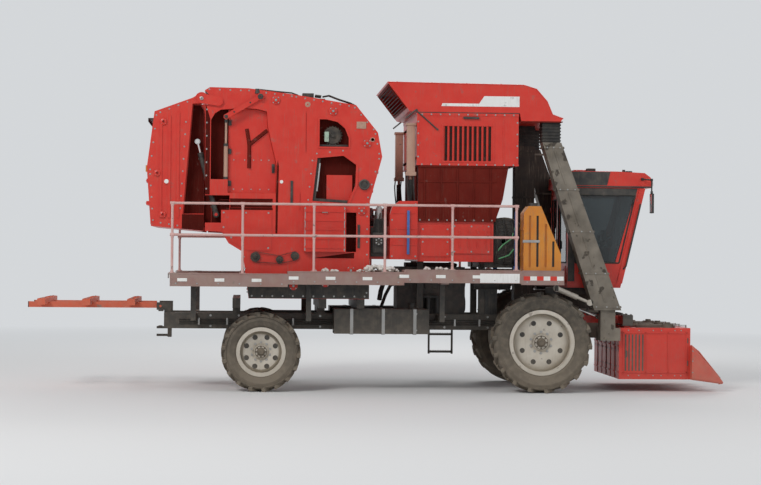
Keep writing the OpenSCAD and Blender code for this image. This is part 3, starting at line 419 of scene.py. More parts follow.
class Shape:
    """Collects solids in one mesh and turns them into a piece.

    Places are (x from the front axle, y, z), and side views are (x from the front axle, z). Every
    method that adds a solid gives the shape back. Its plural adds a solid for each row of values.
    """

    def __init__(self) -> None:
        """Starts with an empty mesh."""
        self.mesh = bmesh.new()

    def rows(self, add: Callable, rows: tuple[tuple, ...]) -> "Shape":
        """Adds a solid for each row of its values."""
        for values in rows:
            add(*values)
        return self

    def boxes(self, *rows: tuple) -> "Shape":
        """Adds several boxes."""
        return self.rows(self.box, rows)

    def rods(self, *rows: tuple) -> "Shape":
        """Adds several rods."""
        return self.rows(self.rod, rows)

    def tubes(self, *rows: tuple) -> "Shape":
        """Adds several tubes."""
        return self.rows(self.tube, rows)

    def prisms(self, *rows: tuple) -> "Shape":
        """Adds several prisms."""
        return self.rows(self.prism, rows)

    def box(self, corner: Point, other: Point, bevel: float = 0.0, turn: float = 0.0) -> "Shape":
        """Adds a box.

        Args:
            corner: one corner.
            other: the corner across from it.
            bevel: width of its edge bevels.
            turn: how far it is turned about Z, in degrees.
        """
        start, end = at(*corner), at(*other)
        size = [abs(length) for length in end - start]
        spin = Matrix.Rotation(math.radians(turn), 4, "Z")
        matrix = Matrix.Translation((start + end) / 2) @ spin @ Matrix.Diagonal((*size, 1.0))
        made = bmesh.ops.create_cube(self.mesh, size=1.0, matrix=matrix)
        if bevel:
            edges = list({edge for vert in made["verts"] for edge in vert.link_edges})
            bmesh.ops.bevel(self.mesh, geom=edges, offset=bevel, segments=2, profile=0.7, affect="EDGES")
        return self

    def rod(self, start: Point, end: Point, radius: float, sides: int = 16,
            end_radius: float | None = None) -> "Shape":
        """Adds a round bar or cone.

        Args:
            start: one end.
            end: the other end.
            radius: its radius at the start.
            sides: faces round it.
            end_radius: its radius at the end, if that differs.
        """
        a, b = at(*start), at(*end)
        matrix = Matrix.Translation((a + b) / 2) @ (b - a).to_track_quat("Z", "Y").to_matrix().to_4x4()
        far = radius if end_radius is None else end_radius
        bmesh.ops.create_cone(self.mesh, cap_ends=True, segments=sides, radius1=radius, radius2=far,
                              depth=(b - a).length, matrix=matrix)
        return self

    def stub(self, start: Point, length: float, radius: float, sides: int = 16,
            end_radius: float | None = None) -> "Shape":
        """Adds a rod along Y, as rod does."""
        return self.rod(start, (start[0], start[1] + length, start[2]), radius, sides, end_radius)

    def post(self, start: Point, height: float, radius: float, sides: int = 16,
            end_radius: float | None = None) -> "Shape":
        """Adds an upright rod, as rod does."""
        return self.rod(start, (start[0], start[1], start[2] + height), radius, sides, end_radius)

    def stubs(self, *rows: tuple) -> "Shape":
        """Adds several rods along Y."""
        return self.rows(self.stub, rows)

    def posts(self, *rows: tuple) -> "Shape":
        """Adds several upright rods."""
        return self.rows(self.post, rows)

    def teeth(self, centre: Point, radius: float, count: int, half: float, deep: float) -> "Shape":
        """Adds the teeth of a sprocket.

        Args:
            centre: the sprocket's centre.
            radius: from there to the teeth.
            count: how many teeth.
            half: half a tooth's size in the side view.
            deep: half its size along Y.
        """
        for x, y, z in circle(centre, radius, count):
            self.box((x - half, y - deep, z - half), (x + half, y + deep, z + half))
        return self

    def skin(self, rings: list[list[Vector]], closed: bool) -> "Shape":
        """Spans faces between rings of places in the frame.

        Args:
            rings: the rings, with as many places each.
            closed: whether the last ring meets the first, instead of a cap on each.
        """
        rings = [[self.mesh.verts.new(place) for place in ring] for ring in rings]
        for ring, following in zip(rings, rings[1:] + rings[:closed]):
            for k in range(len(ring)):
                j = (k + 1) % len(ring)
                self.mesh.faces.new((ring[k], ring[j], following[j], following[k]))
        if not closed:
            self.mesh.faces.new(rings[0][::-1])
            self.mesh.faces.new(rings[-1])
        return self

    def lathe(self, centre: Point, profile: list[Place], sides: int = 32, sign: int = -1,
            axis: Axis = Axis.Y) -> "Shape":
        """Adds a closed profile turned about an axis.

        Args:
            centre: a place on the axis.
            profile: the corners as (radius, distance along the axis).
            sides: faces round it.
            sign: 1 or -1, which way distances along the axis count.
            axis: the axis.
        """
        along, across = Vector((0.0, 0.0, 0.0)), Vector((0.0, 0.0, 0.0))
        along[axis.value] = sign
        across[(axis.value + 1) % 3] = 1.0
        other = along.cross(across)
        turns = [2 * math.pi * k / sides for k in range(sides)]
        spokes = [across * math.cos(turn) + other * math.sin(turn) for turn in turns]
        rings = [[at(*centre) + along * height + spoke * radius for spoke in spokes]
                 for radius, height in profile]
        return self.skin(rings, True)

    def ring(self, centre: Point, radius: float, thick: float, sides: int = 32,
            axis: Axis = Axis.Y) -> "Shape":
        """Adds a ring of round section, with the radius of its circle and of its section."""
        return self.lathe(centre, circle2((radius, 0.0), thick, 8), sides, 1, axis)

    def prism(self, outline: list[Place], y0: float, y1: float) -> "Shape":
        """Adds a plate with a side outline between two widths."""
        return self.skin([[at(x, y, z) for x, z in outline] for y in (y0, y1)], False)

    def tube(self, route: list[Point], radius: float, sides: int = 10) -> "Shape":
        """Adds a tube along a bent route.

        Args:
            route: its places.
            radius: its radius.
            sides: faces round it.
        """
        points = [at(*place) for place in route]
        rings = []
        up = Vector((0.0, 0.0, 1.0))
        for before, point, after in zip(points[:1] + points, points, points[1:] + points[-1:]):
            run = (after - before).normalized()
            if abs(run.dot(up)) > 0.95:
                up = Vector((1.0, 0.0, 0.0))
            side = run.cross(up).normalized()
            up = side.cross(run).normalized()
            rings.append([point + side * a + up * b for a, b in circle2((0.0, 0.0), radius, sides)])
        return self.skin(rings, False)

    def loop(self, route: list[Point], radius: float, sides: int = 8) -> "Shape":
        """Adds a straight tube on each stretch of a closed route."""
        for start, end in zip(route, route[1:] + route[:1]):
            self.tube([start, end], radius, sides)
        return self

    def bolts(self, places: list[Point], radius: float = 0.008, sign: int = -1,
            axis: Axis = Axis.Y) -> "Shape":
        """Adds hexagon bolt heads on washers.

        Args:
            places: where the bolts sit on the surface.
            radius: radius of the head.
            sign: 1 or -1, which way they stand out.
            axis: the axis they point along.
        """
        for place in places:
            washer, head = Vector(place), Vector(place)
            washer[axis.value] += sign * radius * 0.25
            head[axis.value] += sign * radius * 0.95
            self.rods((place, washer, radius * 1.5, 12), (washer, head, radius, 6))
        return self

    def copied(self, *shifts: float, turn: int = 1) -> "Shape":
        """Adds the solids collected so far again.

        Args:
            shifts: how far to the left each copy goes.
            turn: -1 for a mirror image of the machine's other side.
        """
        solids = [*self.mesh.verts, *self.mesh.edges, *self.mesh.faces]
        for shift in shifts:
            for item in bmesh.ops.duplicate(self.mesh, geom=solids)["geom"]:
                if isinstance(item, bmesh.types.BMVert):
                    item.co.y = item.co.y * turn + shift
        return self

    def mirrored(self) -> "Shape":
        """Adds the same solids again on the machine's other side."""
        return self.copied(0.0, turn=-1)

    def finish(self, name: str, slot: str, body: str = "chassis", smooth: float = 35.0,
               look: str | None = None) -> bpy.types.Object:
        """Turns the collected solids into a piece on a body.

        Args:
            name: the piece's name.
            slot: the record's material slot.
            body: the body it rides on.
            smooth: edges flatter than this, in degrees, are shaded smooth.
            look: its own finish, where the slot's isn't right.

        Returns:
            The new piece.
        """
        self.mesh.normal_update()
        bmesh.ops.recalc_face_normals(self.mesh, faces=self.mesh.faces)
        for edge in self.mesh.edges:
            edge.smooth = len(edge.link_faces) == 2 and edge.calc_face_angle(math.pi) < math.radians(smooth)
        for face in self.mesh.faces:
            face.smooth = True
        data = bpy.data.meshes.new(name)
        self.mesh.to_mesh(data)
        self.mesh.free()
        piece = bpy.data.objects.new(name, data)
        bpy.context.scene.collection.objects.link(piece)
        data.materials.append(Palette.get(look or slot))
        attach(piece, body)
        LOG.info("made %s with %d faces", name, len(data.polygons))
        return piece

    def pair(self, name: str, slot: str, body: str = "chassis", smooth: float = 35.0,
             look: str | None = None) -> bpy.types.Object:
        """Turns the solids and their mirror image into one piece, as finish does."""
        return self.mirrored().finish(name, slot, body, smooth, look)


def row(start: Point, end: Point, count: int) -> list[Point]:
    """Spaces places evenly on a line from the start to the end."""
    a, b = Vector(start), Vector(end)
    return [tuple(a.lerp(b, k / max(count - 1, 1))) for k in range(count)]


def circle2(centre: Place, radius: float, count: int, start: float = 0.0) -> list[Place]:
    """Spaces places evenly round a circle in a plane, the first at an angle in degrees."""
    turns = [math.radians(start) + 2 * math.pi * k / count for k in range(count)]
    return [(centre[0] + radius * math.cos(turn), centre[1] + radius * math.sin(turn)) for turn in turns]


def circle(centre: Point, radius: float, count: int, start: float = 0.0, axis: Axis = Axis.Y) -> list[Point]:
    """Spaces places evenly round a circle about an axis.

    Args:
        centre: the circle's centre.
        radius: its radius.
        count: how many places.
        start: angle of the first place, in degrees.
        axis: the axis it goes round.

    Returns:
        The places.
    """
    places = []
    for a, b in circle2((0.0, 0.0), radius, count, start):
        place = list(centre)
        place[(axis.value + 1) % 3] += a
        place[(axis.value + 2) % 3] += b
        places.append(tuple(place))
    return places


def extent(node: str) -> tuple[Vector, Vector]:
    """Gives the lowest and highest corners of a node's box, measured from the front axle."""
    low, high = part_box(node)
    shift = Vector((FRONT_AXLE_X, 0.0, 0.0))
    return Vector(low) - shift, Vector(high) - shift


class Assembly:
    """A sub-assembly whose make methods each build and dress some of its pieces."""

    def build(self) -> None:
        """Runs each make method, in the order they are written."""
        for name, method in vars(type(self)).items():
            if name.startswith("make_"):
                method(self)


@dataclass
class Wheels(Assembly):
    """Hubs, rim discs, valves and tyre rings of the four wheels."""

    hubs: tuple = (("front", 0.118), ("rear", 0.103))
    tyre_rings: tuple = ((0.075, 0.86), (0.115, 0.91), (0.155, 0.955))
    bolts: int = 10

    def make_wheels(self) -> None:
        """Builds the details of every wheel."""
        for end, hub in self.hubs:
            for side in Side:
                self.dress(end, side, hub)

    def dress(self, end: str, side: Side, hub: float) -> None:
        """Builds one wheel's details.

        Args:
            end: "front" or "rear".
            side: the side of the machine.
            hub: the hub's radius.
        """
        sign, name = side.value, f"{end}_{side.name.lower()}"
        body = f"{end}_wheel_{side.name.lower()}"
        low, high = extent(f"{end}_rim_{side.name.lower()}")
        centre, rim = (low + high) / 2, (high.x - low.x) / 2
        x, y, z = centre
        face = y + sign * 0.061
        disc, vents, cap, tyre = Shape(), Shape(), Shape(), Shape()
        disc.lathe(centre, [(hub + 0.006, 0.011), (hub + 0.03, 0.023), (rim * 0.55, 0.061),
            (rim * 0.72, 0.066), (rim - 0.075, 0.031), (rim - 0.06, 0.011), (rim - 0.066, 0.011),
            (rim * 0.72, 0.055), (rim * 0.55, 0.05), (hub + 0.03, 0.011)], 64, sign)
        disc.lathe(centre, [(rim - 0.062, 0.13), (rim - 0.05, 0.134), (rim - 0.041, 0.12),
            (rim - 0.041, 0.03), (rim - 0.05, 0.03), (rim - 0.055, 0.12)], 64, sign)
        for place in circle((x, face, z), rim * 0.635, 8, 22.5):
            vents.ring(place, 0.036, 0.006, 20)
            vents.stub((place[0], face - sign * 0.004, place[2]), sign * 0.01, 0.031, 20)
        cap.stubs(
            ((x, face, z), sign * 0.03, hub * 0.62, 32, hub * 0.58),
            ((x, face + sign * 0.03, z), sign * 0.02, hub * 0.5, 32, hub * 0.36))
        cap.ring((x, face, z), hub * 0.9, 0.006, 48).bolts(circle((x, face, z), hub * 0.76, 8), 0.009, sign)
        bolts = Shape().bolts(circle((x, y + sign * 0.033, z), hub + 0.05, self.bolts), 0.014, sign)
        valve = Shape().stub((x + rim * 0.62, face - sign * 0.01, z + rim * 0.5), sign * 0.045, 0.006, 10,
            0.005)
        low, high = extent(f"{end}_tyre_{side.name.lower()}")
        for step, share in self.tyre_rings:
            r, h = rim + step, (high.y - low.y) / 2 * share
            tyre.lathe(centre, [(r, h), (r + 0.004, h + 0.008), (r + 0.01, h + 0.008), (r + 0.014, h)], 72,
                sign)
        disc.finish(f"rim_disc_{name}", "rim_paint", body)
        vents.finish(f"rim_vents_{name}", "black_plastic", body)
        cap.finish(f"hub_cap_{name}", "axle_iron", body)
        bolts.finish(f"wheel_bolts_{name}", "roller_steel", body)
        valve.finish(f"valve_{name}", "black_plastic", body)
        tyre.finish(f"tyre_rings_{name}", "tyre", body)


@dataclass
class Decks(Assembly):
    """Tread plates, skirt edges, reflectors and bolts of the side decks."""

    inner: float = 1.27
    outer: float = 1.77
    sections: tuple = ((-5.81, -4, 0.2), (-4, -2.2, 0.2), (-2.2, -0.37, 0.2), (-0.37, 0.3, 0.22))
    tread: float = 0.075

    @staticmethod
    def top(x: float) -> float:
        """Gives the height of the deck plates at x."""
        return 1.84 if x < -4.0 else 1.88 if x < -2.2 else 1.92

    def make_plates(self) -> None:
        """Builds the treads, lips, bolts and reflectors of the deck plates."""
        treads, lips, marks, bolts = Shape(), Shape(), Shape(), Shape()
        y = -self.outer
        for rear, front, drop in self.sections:
            top = self.top(rear)
            self.add_treads(treads, rear, front)
            lips.boxes(
                ((rear + 0.01, y - 0.004, top - 0.012), (front - 0.01, y + 0.012, top + 0.006), 0.003),
                ((rear + 0.01, y - 0.004, top - drop), (front - 0.01, y + 0.004, top - drop + 0.014), 0.002),
                ((rear + 0.012, y - 0.003, top - drop), (rear + 0.032, y + 0.004, top - 0.01)))
            line, count = top - drop + 0.045, max(2, round((front - rear) / 0.3))
            bolts.bolts(row((rear + 0.09, y, line), (front - 0.09, y, line), count))
        for k in range(10):
            x = -5.62 + 0.57 * k
            marks.box((x - 0.075, y - 0.005, self.top(x) - 0.125), (x + 0.075, y + 0.002,
                self.top(x) - 0.075), 0.002)
        treads.pair("deck_treads", "deck_paint", smooth=10)
        lips.pair("deck_lips", "deck_paint")
        bolts.pair("deck_bolts", "roller_steel")
        marks.pair("deck_reflectors", "lamp_lens")

    def add_treads(self, shape: Shape, rear: float, front: float) -> None:
        """Adds a raised tread pattern to one deck plate.

        Args:
            shape: where it goes.
            rear: rear end of the plate.
            front: front end of the plate.
        """
        z = self.top(rear)
        for i in range(int((front - rear - 0.06) / self.tread)):
            for j in range(int((self.outer - self.inner - 0.08) / self.tread)):
                x, y = rear + 0.06 + i * self.tread, -self.outer + 0.06 + j * self.tread
                turn = 45.0 if (i + j) % 2 else -45.0
                shape.box((x - 0.017, y - 0.004, z), (x + 0.017, y + 0.004, z + 0.003), 0.0, turn)

    def make_tape(self) -> None:
        """Builds the red and white warning tape on the front section."""
        white, red, plate = Shape(), Shape(), Shape()
        y = -self.outer
        for k in range(6):
            x = -0.34 + k * 0.105
            (white if k % 2 else red).box((x, y - 0.003, 1.77), (x + 0.104, y + 0.001, 1.835))
        plate.box((-1.02, y - 0.007, 1.728), (-0.4, y + 0.001, 1.872), 0.002)
        plate.pair("skirt_plates", "lamp_lens", look="sign_white")
        white.pair("tape_white", "lamp_lens")
        red.pair("tape_red", "red_paint")

    def make_steps(self) -> None:
        """Builds the toothed treads and hand grips of the ladder."""
        teeth, grips = Shape(), Shape()
        for z in (0.5, 0.8, 1.1, 1.4):
            for i in range(13):
                x = -1.455 + i * 0.029
                teeth.box((x, 1.625, z), (x + 0.008, 1.735, z + 0.012))
            teeth.bolts([(-1.47, 1.655, z), (-1.11, 1.655, z)], 0.007, 1, Axis.Z)
        for x in (-1.53, -1.03):
            grips.tube([(x, 1.7, 1.2), (x, 1.755, 1.25), (x, 1.755, 1.72), (x, 1.7, 1.79)], 0.013)
        teeth.finish("ladder_teeth", "roller_steel")
        grips.finish("ladder_grips", "rail_paint")

    def make_ribs(self) -> None:
        """Builds the gussets and stiffeners below the decks."""
        ribs = Shape()
        for x in (-5.3, -4.9, -4.5, -3.4, -3, -2.6, -2, -1.2, -0.8):
            top = self.top(x) - 0.05
            ribs.box((x, -1.73, top - 0.06), (x + 0.012, -1.275, top))
            ribs.box((x - 0.02, -1.73, top - 0.066), (x + 0.032, -1.275, top - 0.06))
        ribs.pair("deck_ribs", "chassis_black")


@dataclass
class Handrails(Assembly):
    """Feet, clamps and bolts of the handrails."""

    line: float = 1.73
    rails: tuple = (2.92, 2.434)
    posts: tuple = ((Side.RIGHT, (-5.78, -4.7, -3.6, -2.5, -1.45, -0.45)),
                    (Side.LEFT, (-5.78, -4.7, -3.6, -2.5, -1.6, -0.95, -0.45)))

    def make_rails(self) -> None:
        """Builds the rail details."""
        feet, clamps, bolts = Shape(), Shape(), Shape()
        for side, places in self.posts:
            y = side.value * self.line
            for x in places:
                deck = Decks.top(x)
                feet.box((x - 0.05, y - 0.035, deck), (x + 0.05, y + 0.035, deck + 0.01), 0.003)
                feet.post((x, y, deck + 0.01), 0.04, 0.027, 16, 0.022)
                bolts.bolts([(x - 0.036, y, deck + 0.01), (x + 0.036, y, deck + 0.01)], sign=1, axis=Axis.Z)
                for z in self.rails:
                    clamps.rod((x - 0.035, y, z), (x + 0.035, y, z), 0.025, 14).post((x, y, z - 0.05), 0.035,
                        0.0245, 14)
        feet.finish("rail_feet", "rail_paint")
        clamps.finish("rail_clamps", "rail_paint")
        bolts.finish("rail_bolts", "roller_steel")


@dataclass
class Baler(Assembly):
    """Bearings, belts, bolts, latches and pipes of the baler body."""

    wall: float = 1.25
    pocket: float = 1.15
    rollers: tuple = ((-3, 1.9), (-3.4, 1.7), (-3.9, 1.65), (-2.84, 2.84), (-2.76, 3.9), (-3.3, 4.4),
        (-4.2, 4.56), (-3.62, 2.86))
    belt_path: tuple = ((-3, 1.9), (-2.84, 2.84), (-2.76, 3.9), (-3.3, 4.4), (-4.2, 4.56))
    belts: int = 7
    edge_lines: tuple = (((-2.75, 1.55), (-2.75, 2.95), 8), ((-2.74, 3.05), (-2.57, 3.66), 4),
        ((-2.57, 3.74), (-2.63, 4.05), 3), ((-2.66, 4.12), (-2.96, 4.46), 4), ((-3.05, 4.485),
        (-3.88, 4.615), 7), ((-3.95, 4.625), (-4.62, 4.705), 6), ((-4.75, 4.705), (-5.24, 4.715), 4),
        ((-5.275, 3.16), (-5.275, 4.4), 7), ((-4.55, 1.49), (-2.78, 1.49), 12),
        ((-4.62, 1.55), (-4.68, 2.1), 4), ((-3.55, 3.73), (-3.14, 3.78), 3), ((-3.68, 3), (-3.62, 3.62), 4))
    # Painted shade on the wall: the post beside the tailgate's groove, the bands round the belt slot and a
    # patch below the drive gap, plus one dark seam line.
    shade_and_seam_outlines: tuple = (
        ((-5.296, 3.07), (-5.222, 3.07), (-5.222, 4.25), (-5.296, 4.5)),
        ((-4.905, 2.965), (-4.235, 2.965), (-4.235, 3.012), (-4.905, 3.012)),
        ((-4.905, 2.834), (-4.235, 2.834), (-4.235, 2.87), (-4.905, 2.87)),
        ((-3.6, 2.09), (-2.95, 2.09), (-2.95, 2.18), (-3.1, 2.16)),
        ((-4.187, 2.47), (-4.158, 2.47), (-4.143, 3.52), (-4.162, 3.62), (-4.171, 3.52), (-4.186, 3.09)))
    window_outlines: tuple = (((-3.635, 2.97), (-3.05, 2.93), (-2.92, 3.235), (-2.91, 3.57), (-3.12, 3.72),
        (-3.555, 3.68)), ((-3.53, 3.82), (-3.03, 3.82), (-3.03, 3.985), (-3.095, 4.145), (-3.22, 4.25),
        (-3.4, 4.29), (-3.53, 4.29)), ((-3.1, 2.17), (-2.9, 2.17), (-2.9, 2.83), (-3.1, 2.83)))
    panel_ribs: tuple = (((-4.65, 4.11), (-4.61, 3.86)), ((-4.33, 4.09), (-4.61, 3.86)),
        ((-4.61, 3.88), (-4.61, 3.49)))

    def make_bearings(self) -> None:
        """Builds a flanged bearing at each roller's end."""
        housings, bolts, shafts = Shape(), Shape(), Shape()
        y = -self.wall - 0.014
        profile = [(0.022, 0), (0.066, 0), (0.066, 0.006), (0.045, 0.01), (0.04, 0.026), (0.022, 0.028)]
        for x, z in self.rollers:
            housings.lathe((x, y, z), profile)
            bolts.bolts(circle((x, y - 0.006, z), 0.054, 4, 45))
            shafts.stub((x, y, z), -0.034, 0.02, 20, 0.018)
            shafts.rod((x, y - 0.026, z + 0.03), (x, y - 0.038, z + 0.036), 0.004, 8, 0.003)
        housings.pair("bearing_housings", "red_paint")
        bolts.pair("bearing_bolts", "roller_steel")
        shafts.pair("roller_ends", "roller_steel")

    def make_bolts(self) -> None:
        """Builds the bolt rows along the edges of the side walls."""
        bolts = Shape()
        for (x0, z0), (x1, z1), count in self.edge_lines:
            bolts.bolts(row((x0, -self.wall, z0), (x1, -self.wall, z1), count), 0.009)
        panel = ((-5, 2.56), (-4.88, 2.4), (-4.3, 2.24), (-4.3, 2.79), (-4.65, 2.79), (-5, 2.79))
        bolts.bolts([(x, -self.wall - 0.014, z) for x, z in panel], 0.01)
        bolts.pair("wall_bolts", "roller_steel")

    def make_belts(self) -> None:
        """Builds the forming belts round their rollers."""
        inner, outer = self.offset_path(0.074), self.offset_path(0.081)
        width = 2.2 / self.belts
        shape = Shape()
        for k in range(self.belts):
            y0, y1 = -1.08 + k * width, -1.12 + (k + 1) * width
            edges = ((inner, y0), (outer, y0), (outer, y1), (inner, y1))
            shape.skin([[at(x, y, z) for x, z in loop] for loop, y in edges], True)
        shape.finish("forming_belts", "boot_rubber", smooth=60)

    def offset_path(self, reach: float) -> list[Vector]:
        """Gives a closed loop that runs round the belt rollers.

        Args:
            reach: distance from the rollers' middles.

        Returns:
            The loop in the side view.
        """
        path = [Vector(place) for place in self.belt_path]
        loop = []
        for line in (path, path[::-1]):
            for i, point in enumerate(line[:-1]):
                run = (line[i + 1] - point).normalized()
                normal = Vector((run.y, -run.x))
                if i:
                    before = (point - line[i - 1]).normalized()
                    middle = (Vector((before.y, -before.x)) + normal).normalized()
                    loop.append(point + middle * (reach / middle.dot(normal)))
                    continue
                turns = [math.pi * k / 8 for k in range(1, 9)]
                loop += [point + (-normal * math.cos(turn) - run * math.sin(turn)) * reach for turn in turns]
        return loop

    def make_panel(self) -> None:
        """Builds the edge frame, hinges and latches of the recessed panel."""
        bars, catches, bolts = Shape(), Shape(), Shape()
        y = -self.pocket
        corners = ((-4.93, 3.11), (-4.2, 3.11), (-4.187, 3.52), (-4.33, 4.13), (-4.35, 4.37), (-4.5, 4.405),
                   (-4.69, 4.415), (-4.93, 4.4))
        bars.loop([(x, y - 0.008, z) for x, z in corners], 0.009)
        for z in (3.25, 3.75, 4.2):
            catches.box((-4.935, y - 0.03, z - 0.04), (-4.89, y, z + 0.04), 0.004)
            catches.post((-4.93, y - 0.03, z - 0.045), 0.09, 0.01, 12)
        catches.box((-4.255, y - 0.022, 3.42), (-4.21, y, 3.56), 0.004)
        catches.tube([(-4.235, y - 0.02, 3.45), (-4.235, y - 0.055, 3.46), (-4.235, y - 0.055, 3.52),
                      (-4.235, y - 0.02, 3.53)], 0.007, 8)
        for x0, x1, z, count in ((-4.85, -4.3, 3.16, 5), (-4.85, -4.68, 3.62, 2), (-4.54, -4.3, 3.62, 3)):
            bolts.bolts(row((x0, y, z), (x1, y, z), count), 0.007)
        bars.pair("panel_frame", "red_paint")
        catches.pair("panel_catches", "chassis_black")
        bolts.pair("panel_bolts", "roller_steel")

    def make_windows(self) -> None:
        """Builds the bars in the two front windows, and the gear behind them."""
        bars, gear, hub, pipe = Shape(), Shape(), Shape(), Shape()
        y = -self.wall
        bars.prisms(
            ([(-3.625, 2.995), (-3.565, 2.995), (-3.49, 3.655), (-3.535, 3.655)], y + 0.03, y + 0.055),
            ([(-3.61, 2.988), (-3.07, 2.956), (-3.055, 3), (-3.6, 3.03)], y + 0.02, y + 0.05))
        bars.box((-3.5, y + 0.04, 3.845), (-3.06, y + 0.06, 3.875), 0.003)
        pipe.tube([(-3.545, y + 0.025, 3.14), (-3.52, y + 0.02, 3.36), (-3.5, y + 0.025, 3.58)], 0.012)
        gear.lathe((-3.3, y + 0.1, 4.02), [(0.03, 0), (0.13, 0), (0.14, 0.012), (0.13, 0.024),
            (0.03, 0.024)], 36)
        gear.teeth((-3.3, y + 0.088, 4.02), 0.146, 20, 0.008, 0.01)
        gear.stub((-3.3, y + 0.14, 4.02), -0.11, 0.028)
        hub.box((-3.43, y + 0.05, 3.92), (-3.36, y + 0.13, 4.08), 0.012)
        hub.stub((-3.395, y + 0.05, 4), -0.015, 0.02)
        bars.pair("window_bars", "chassis_black")
        gear.pair("chain_gear", "axle_iron")
        hub.pair("window_gauge", "roller_steel", look="pale_green")
        pipe.pair("window_pipe", "lamp_lens", look="pump_grey")

    def make_fittings(self) -> None:
        """Builds the knobs, the pipe end, the lamp and the clevis plates on the walls."""
        black, steel, lens = Shape(), Shape(), Shape()
        y = -self.wall
        black.lathe((-2.8, y, 3.25), [(0.055, 0), (0.085, 0), (0.085, 0.03), (0.072, 0.035), (0.055, 0.03)],
            40)
        black.stub((-2.8, y, 3.25), -0.012, 0.058, 32)
        black.post((-4.49, y + 0.02, 4.66), 0.075, 0.045, 20, 0.035)
        black.boxes(((-2.9, y - 0.012, 2.25), (-2.86, y, 2.62), 0.003), ((-3.96, y - 0.016, 2.95),
            (-3.92, y, 3.3), 0.004))
        steel.box((-2.93, y - 0.012, 4.13), (-2.78, y, 4.24), 0.004)
        steel.bolts([(-2.9, y - 0.012, 4.16), (-2.81, y - 0.012, 4.16), (-2.855, y - 0.012, 4.215)], 0.009)
        steel.lathe((-2.675, y, 3.96), [(0.026, 0), (0.036, 0), (0.036, 0.007), (0.026, 0.007)], 24)
        lens.stub((-4.1, y, 3.28), -0.009, 0.028, 24, 0.024)
        black.pair("wall_fittings", "chassis_black")
        steel.pair("wall_plates", "rail_paint", look="column_tan")
        lens.pair("wall_reflectors", "lamp_lens")

    def make_top(self) -> None:
        """Builds the valve block, the work lamp and the lines on the baler's top."""
        block, lamp, lines = Shape(), Shape(), Shape()
        for y in (-1.08, -0.95):
            block.box((-3.78, y, 4.6), (-3.6, y + 0.09, 4.69), 0.006)
            block.rod((-3.58, y + 0.045, 4.655), (-3.48, y + 0.045, 4.645), 0.02, 14)
        block.box((-3.8, -1.1, 4.585), (-3.42, -0.84, 4.605), 0.003)
        lamp.lathe((-3.7, -1.235, 4.5), [(0.012, 0), (0.062, 0), (0.066, 0.012), (0.05, 0.014),
            (0.012, 0.02)])
        for y in (-1.06, -1.005, -0.95):
            lines.tube([(-3.46, y, 4.64), (-3.36, y, 4.66), (-3.2, y, 4.6), (-3.02, y, 4.545),
                (-2.93, y, 4.5)], 0.011)
        lines.tube([(-3.8, -1.04, 4.62), (-3.86, -1.06, 4.66), (-3.95, -1.08, 4.69), (-4.2, -1.08, 4.71),
                    (-4.45, -1.08, 4.735)], 0.012)
        block.finish("valve_block", "chassis_black")
        lamp.finish("round_lamp", "rail_paint", look="column_tan")
        lines.finish("top_lines", "boot_rubber")

    def make_drive(self) -> None:
        """Builds the chain drive below the raised panel and the seams of the drive cover."""
        gear, chain, cover = Shape(), Shape(), Shape()
        y = -self.wall - 0.018
        for x, z, radius in ((-4.5, 2.1, 0.075), (-4.12, 2.06, 0.055), (-3.88, 2.12, 0.065)):
            gear.lathe((x, y, z), [(0.02, 0), (radius, 0), (radius, 0.012), (0.035, 0.014), (0.03, 0.028),
                                   (0.02, 0.028)])
            gear.teeth((x, y - 0.006, z), radius, 16, 0.006, 0.004)
            gear.rod((x, -self.wall + 0.001, z), (x, y - 0.03, z), 0.019)
        for x0, z0, x1, z1 in ((-4.5, 2.181, -4.12, 2.121), (-4.12, 2, -4.5, 2.02),
                (-4.12, 2.121, -3.88, 2.191), (-3.88, 2.05, -4.12, 2)):
            for x, _, z in row((x0, 0, z0), (x1, 0, z1), int(math.hypot(x1 - x0, z1 - z0) / 0.02)):
                chain.box((x - 0.008, y - 0.012, z - 0.006), (x + 0.008, y - 0.003, z + 0.006), 0.002)
        for x in (-3.735, -3.118):
            cover.box((x, -1.363, 2.2), (x + 0.013, -1.357, 2.89))
        cover.bolts([(x, -1.36, z) for x in (-3.73, -3.11) for z in (2.23, 2.45, 2.67, 2.87)])
        cover.tube([(-3.46, -1.362, 2.8), (-3.46, -1.39, 2.805), (-3.38, -1.39, 2.805),
            (-3.38, -1.362, 2.8)], 0.007, 8)
        gear.pair("drive_sprockets", "axle_iron")
        chain.pair("drive_chain", "axle_iron")
        cover.finish("cover_fittings", "roller_steel")

    def make_cover_seams(self) -> None:
        """Builds the joint strips and cross ribs on the covers between the walls."""
        strips = Shape()
        for x, z in ((-3, 4.5095), (-3.45, 4.5806), (-4.25, 4.6938), (-4.85, 4.7437)):
            strips.box((x - 0.02, -1.15, z - 0.012), (x + 0.02, 1.15, z + 0.01), 0.003)
        for z in (3.15, 3.45):
            x = -2.71 + (z - 2.99) * 0.2714
            strips.box((x - 0.01, -1.15, z - 0.02), (x + 0.013, 1.15, z + 0.02), 0.003)
        strips.finish("cover_strips", "red_paint")

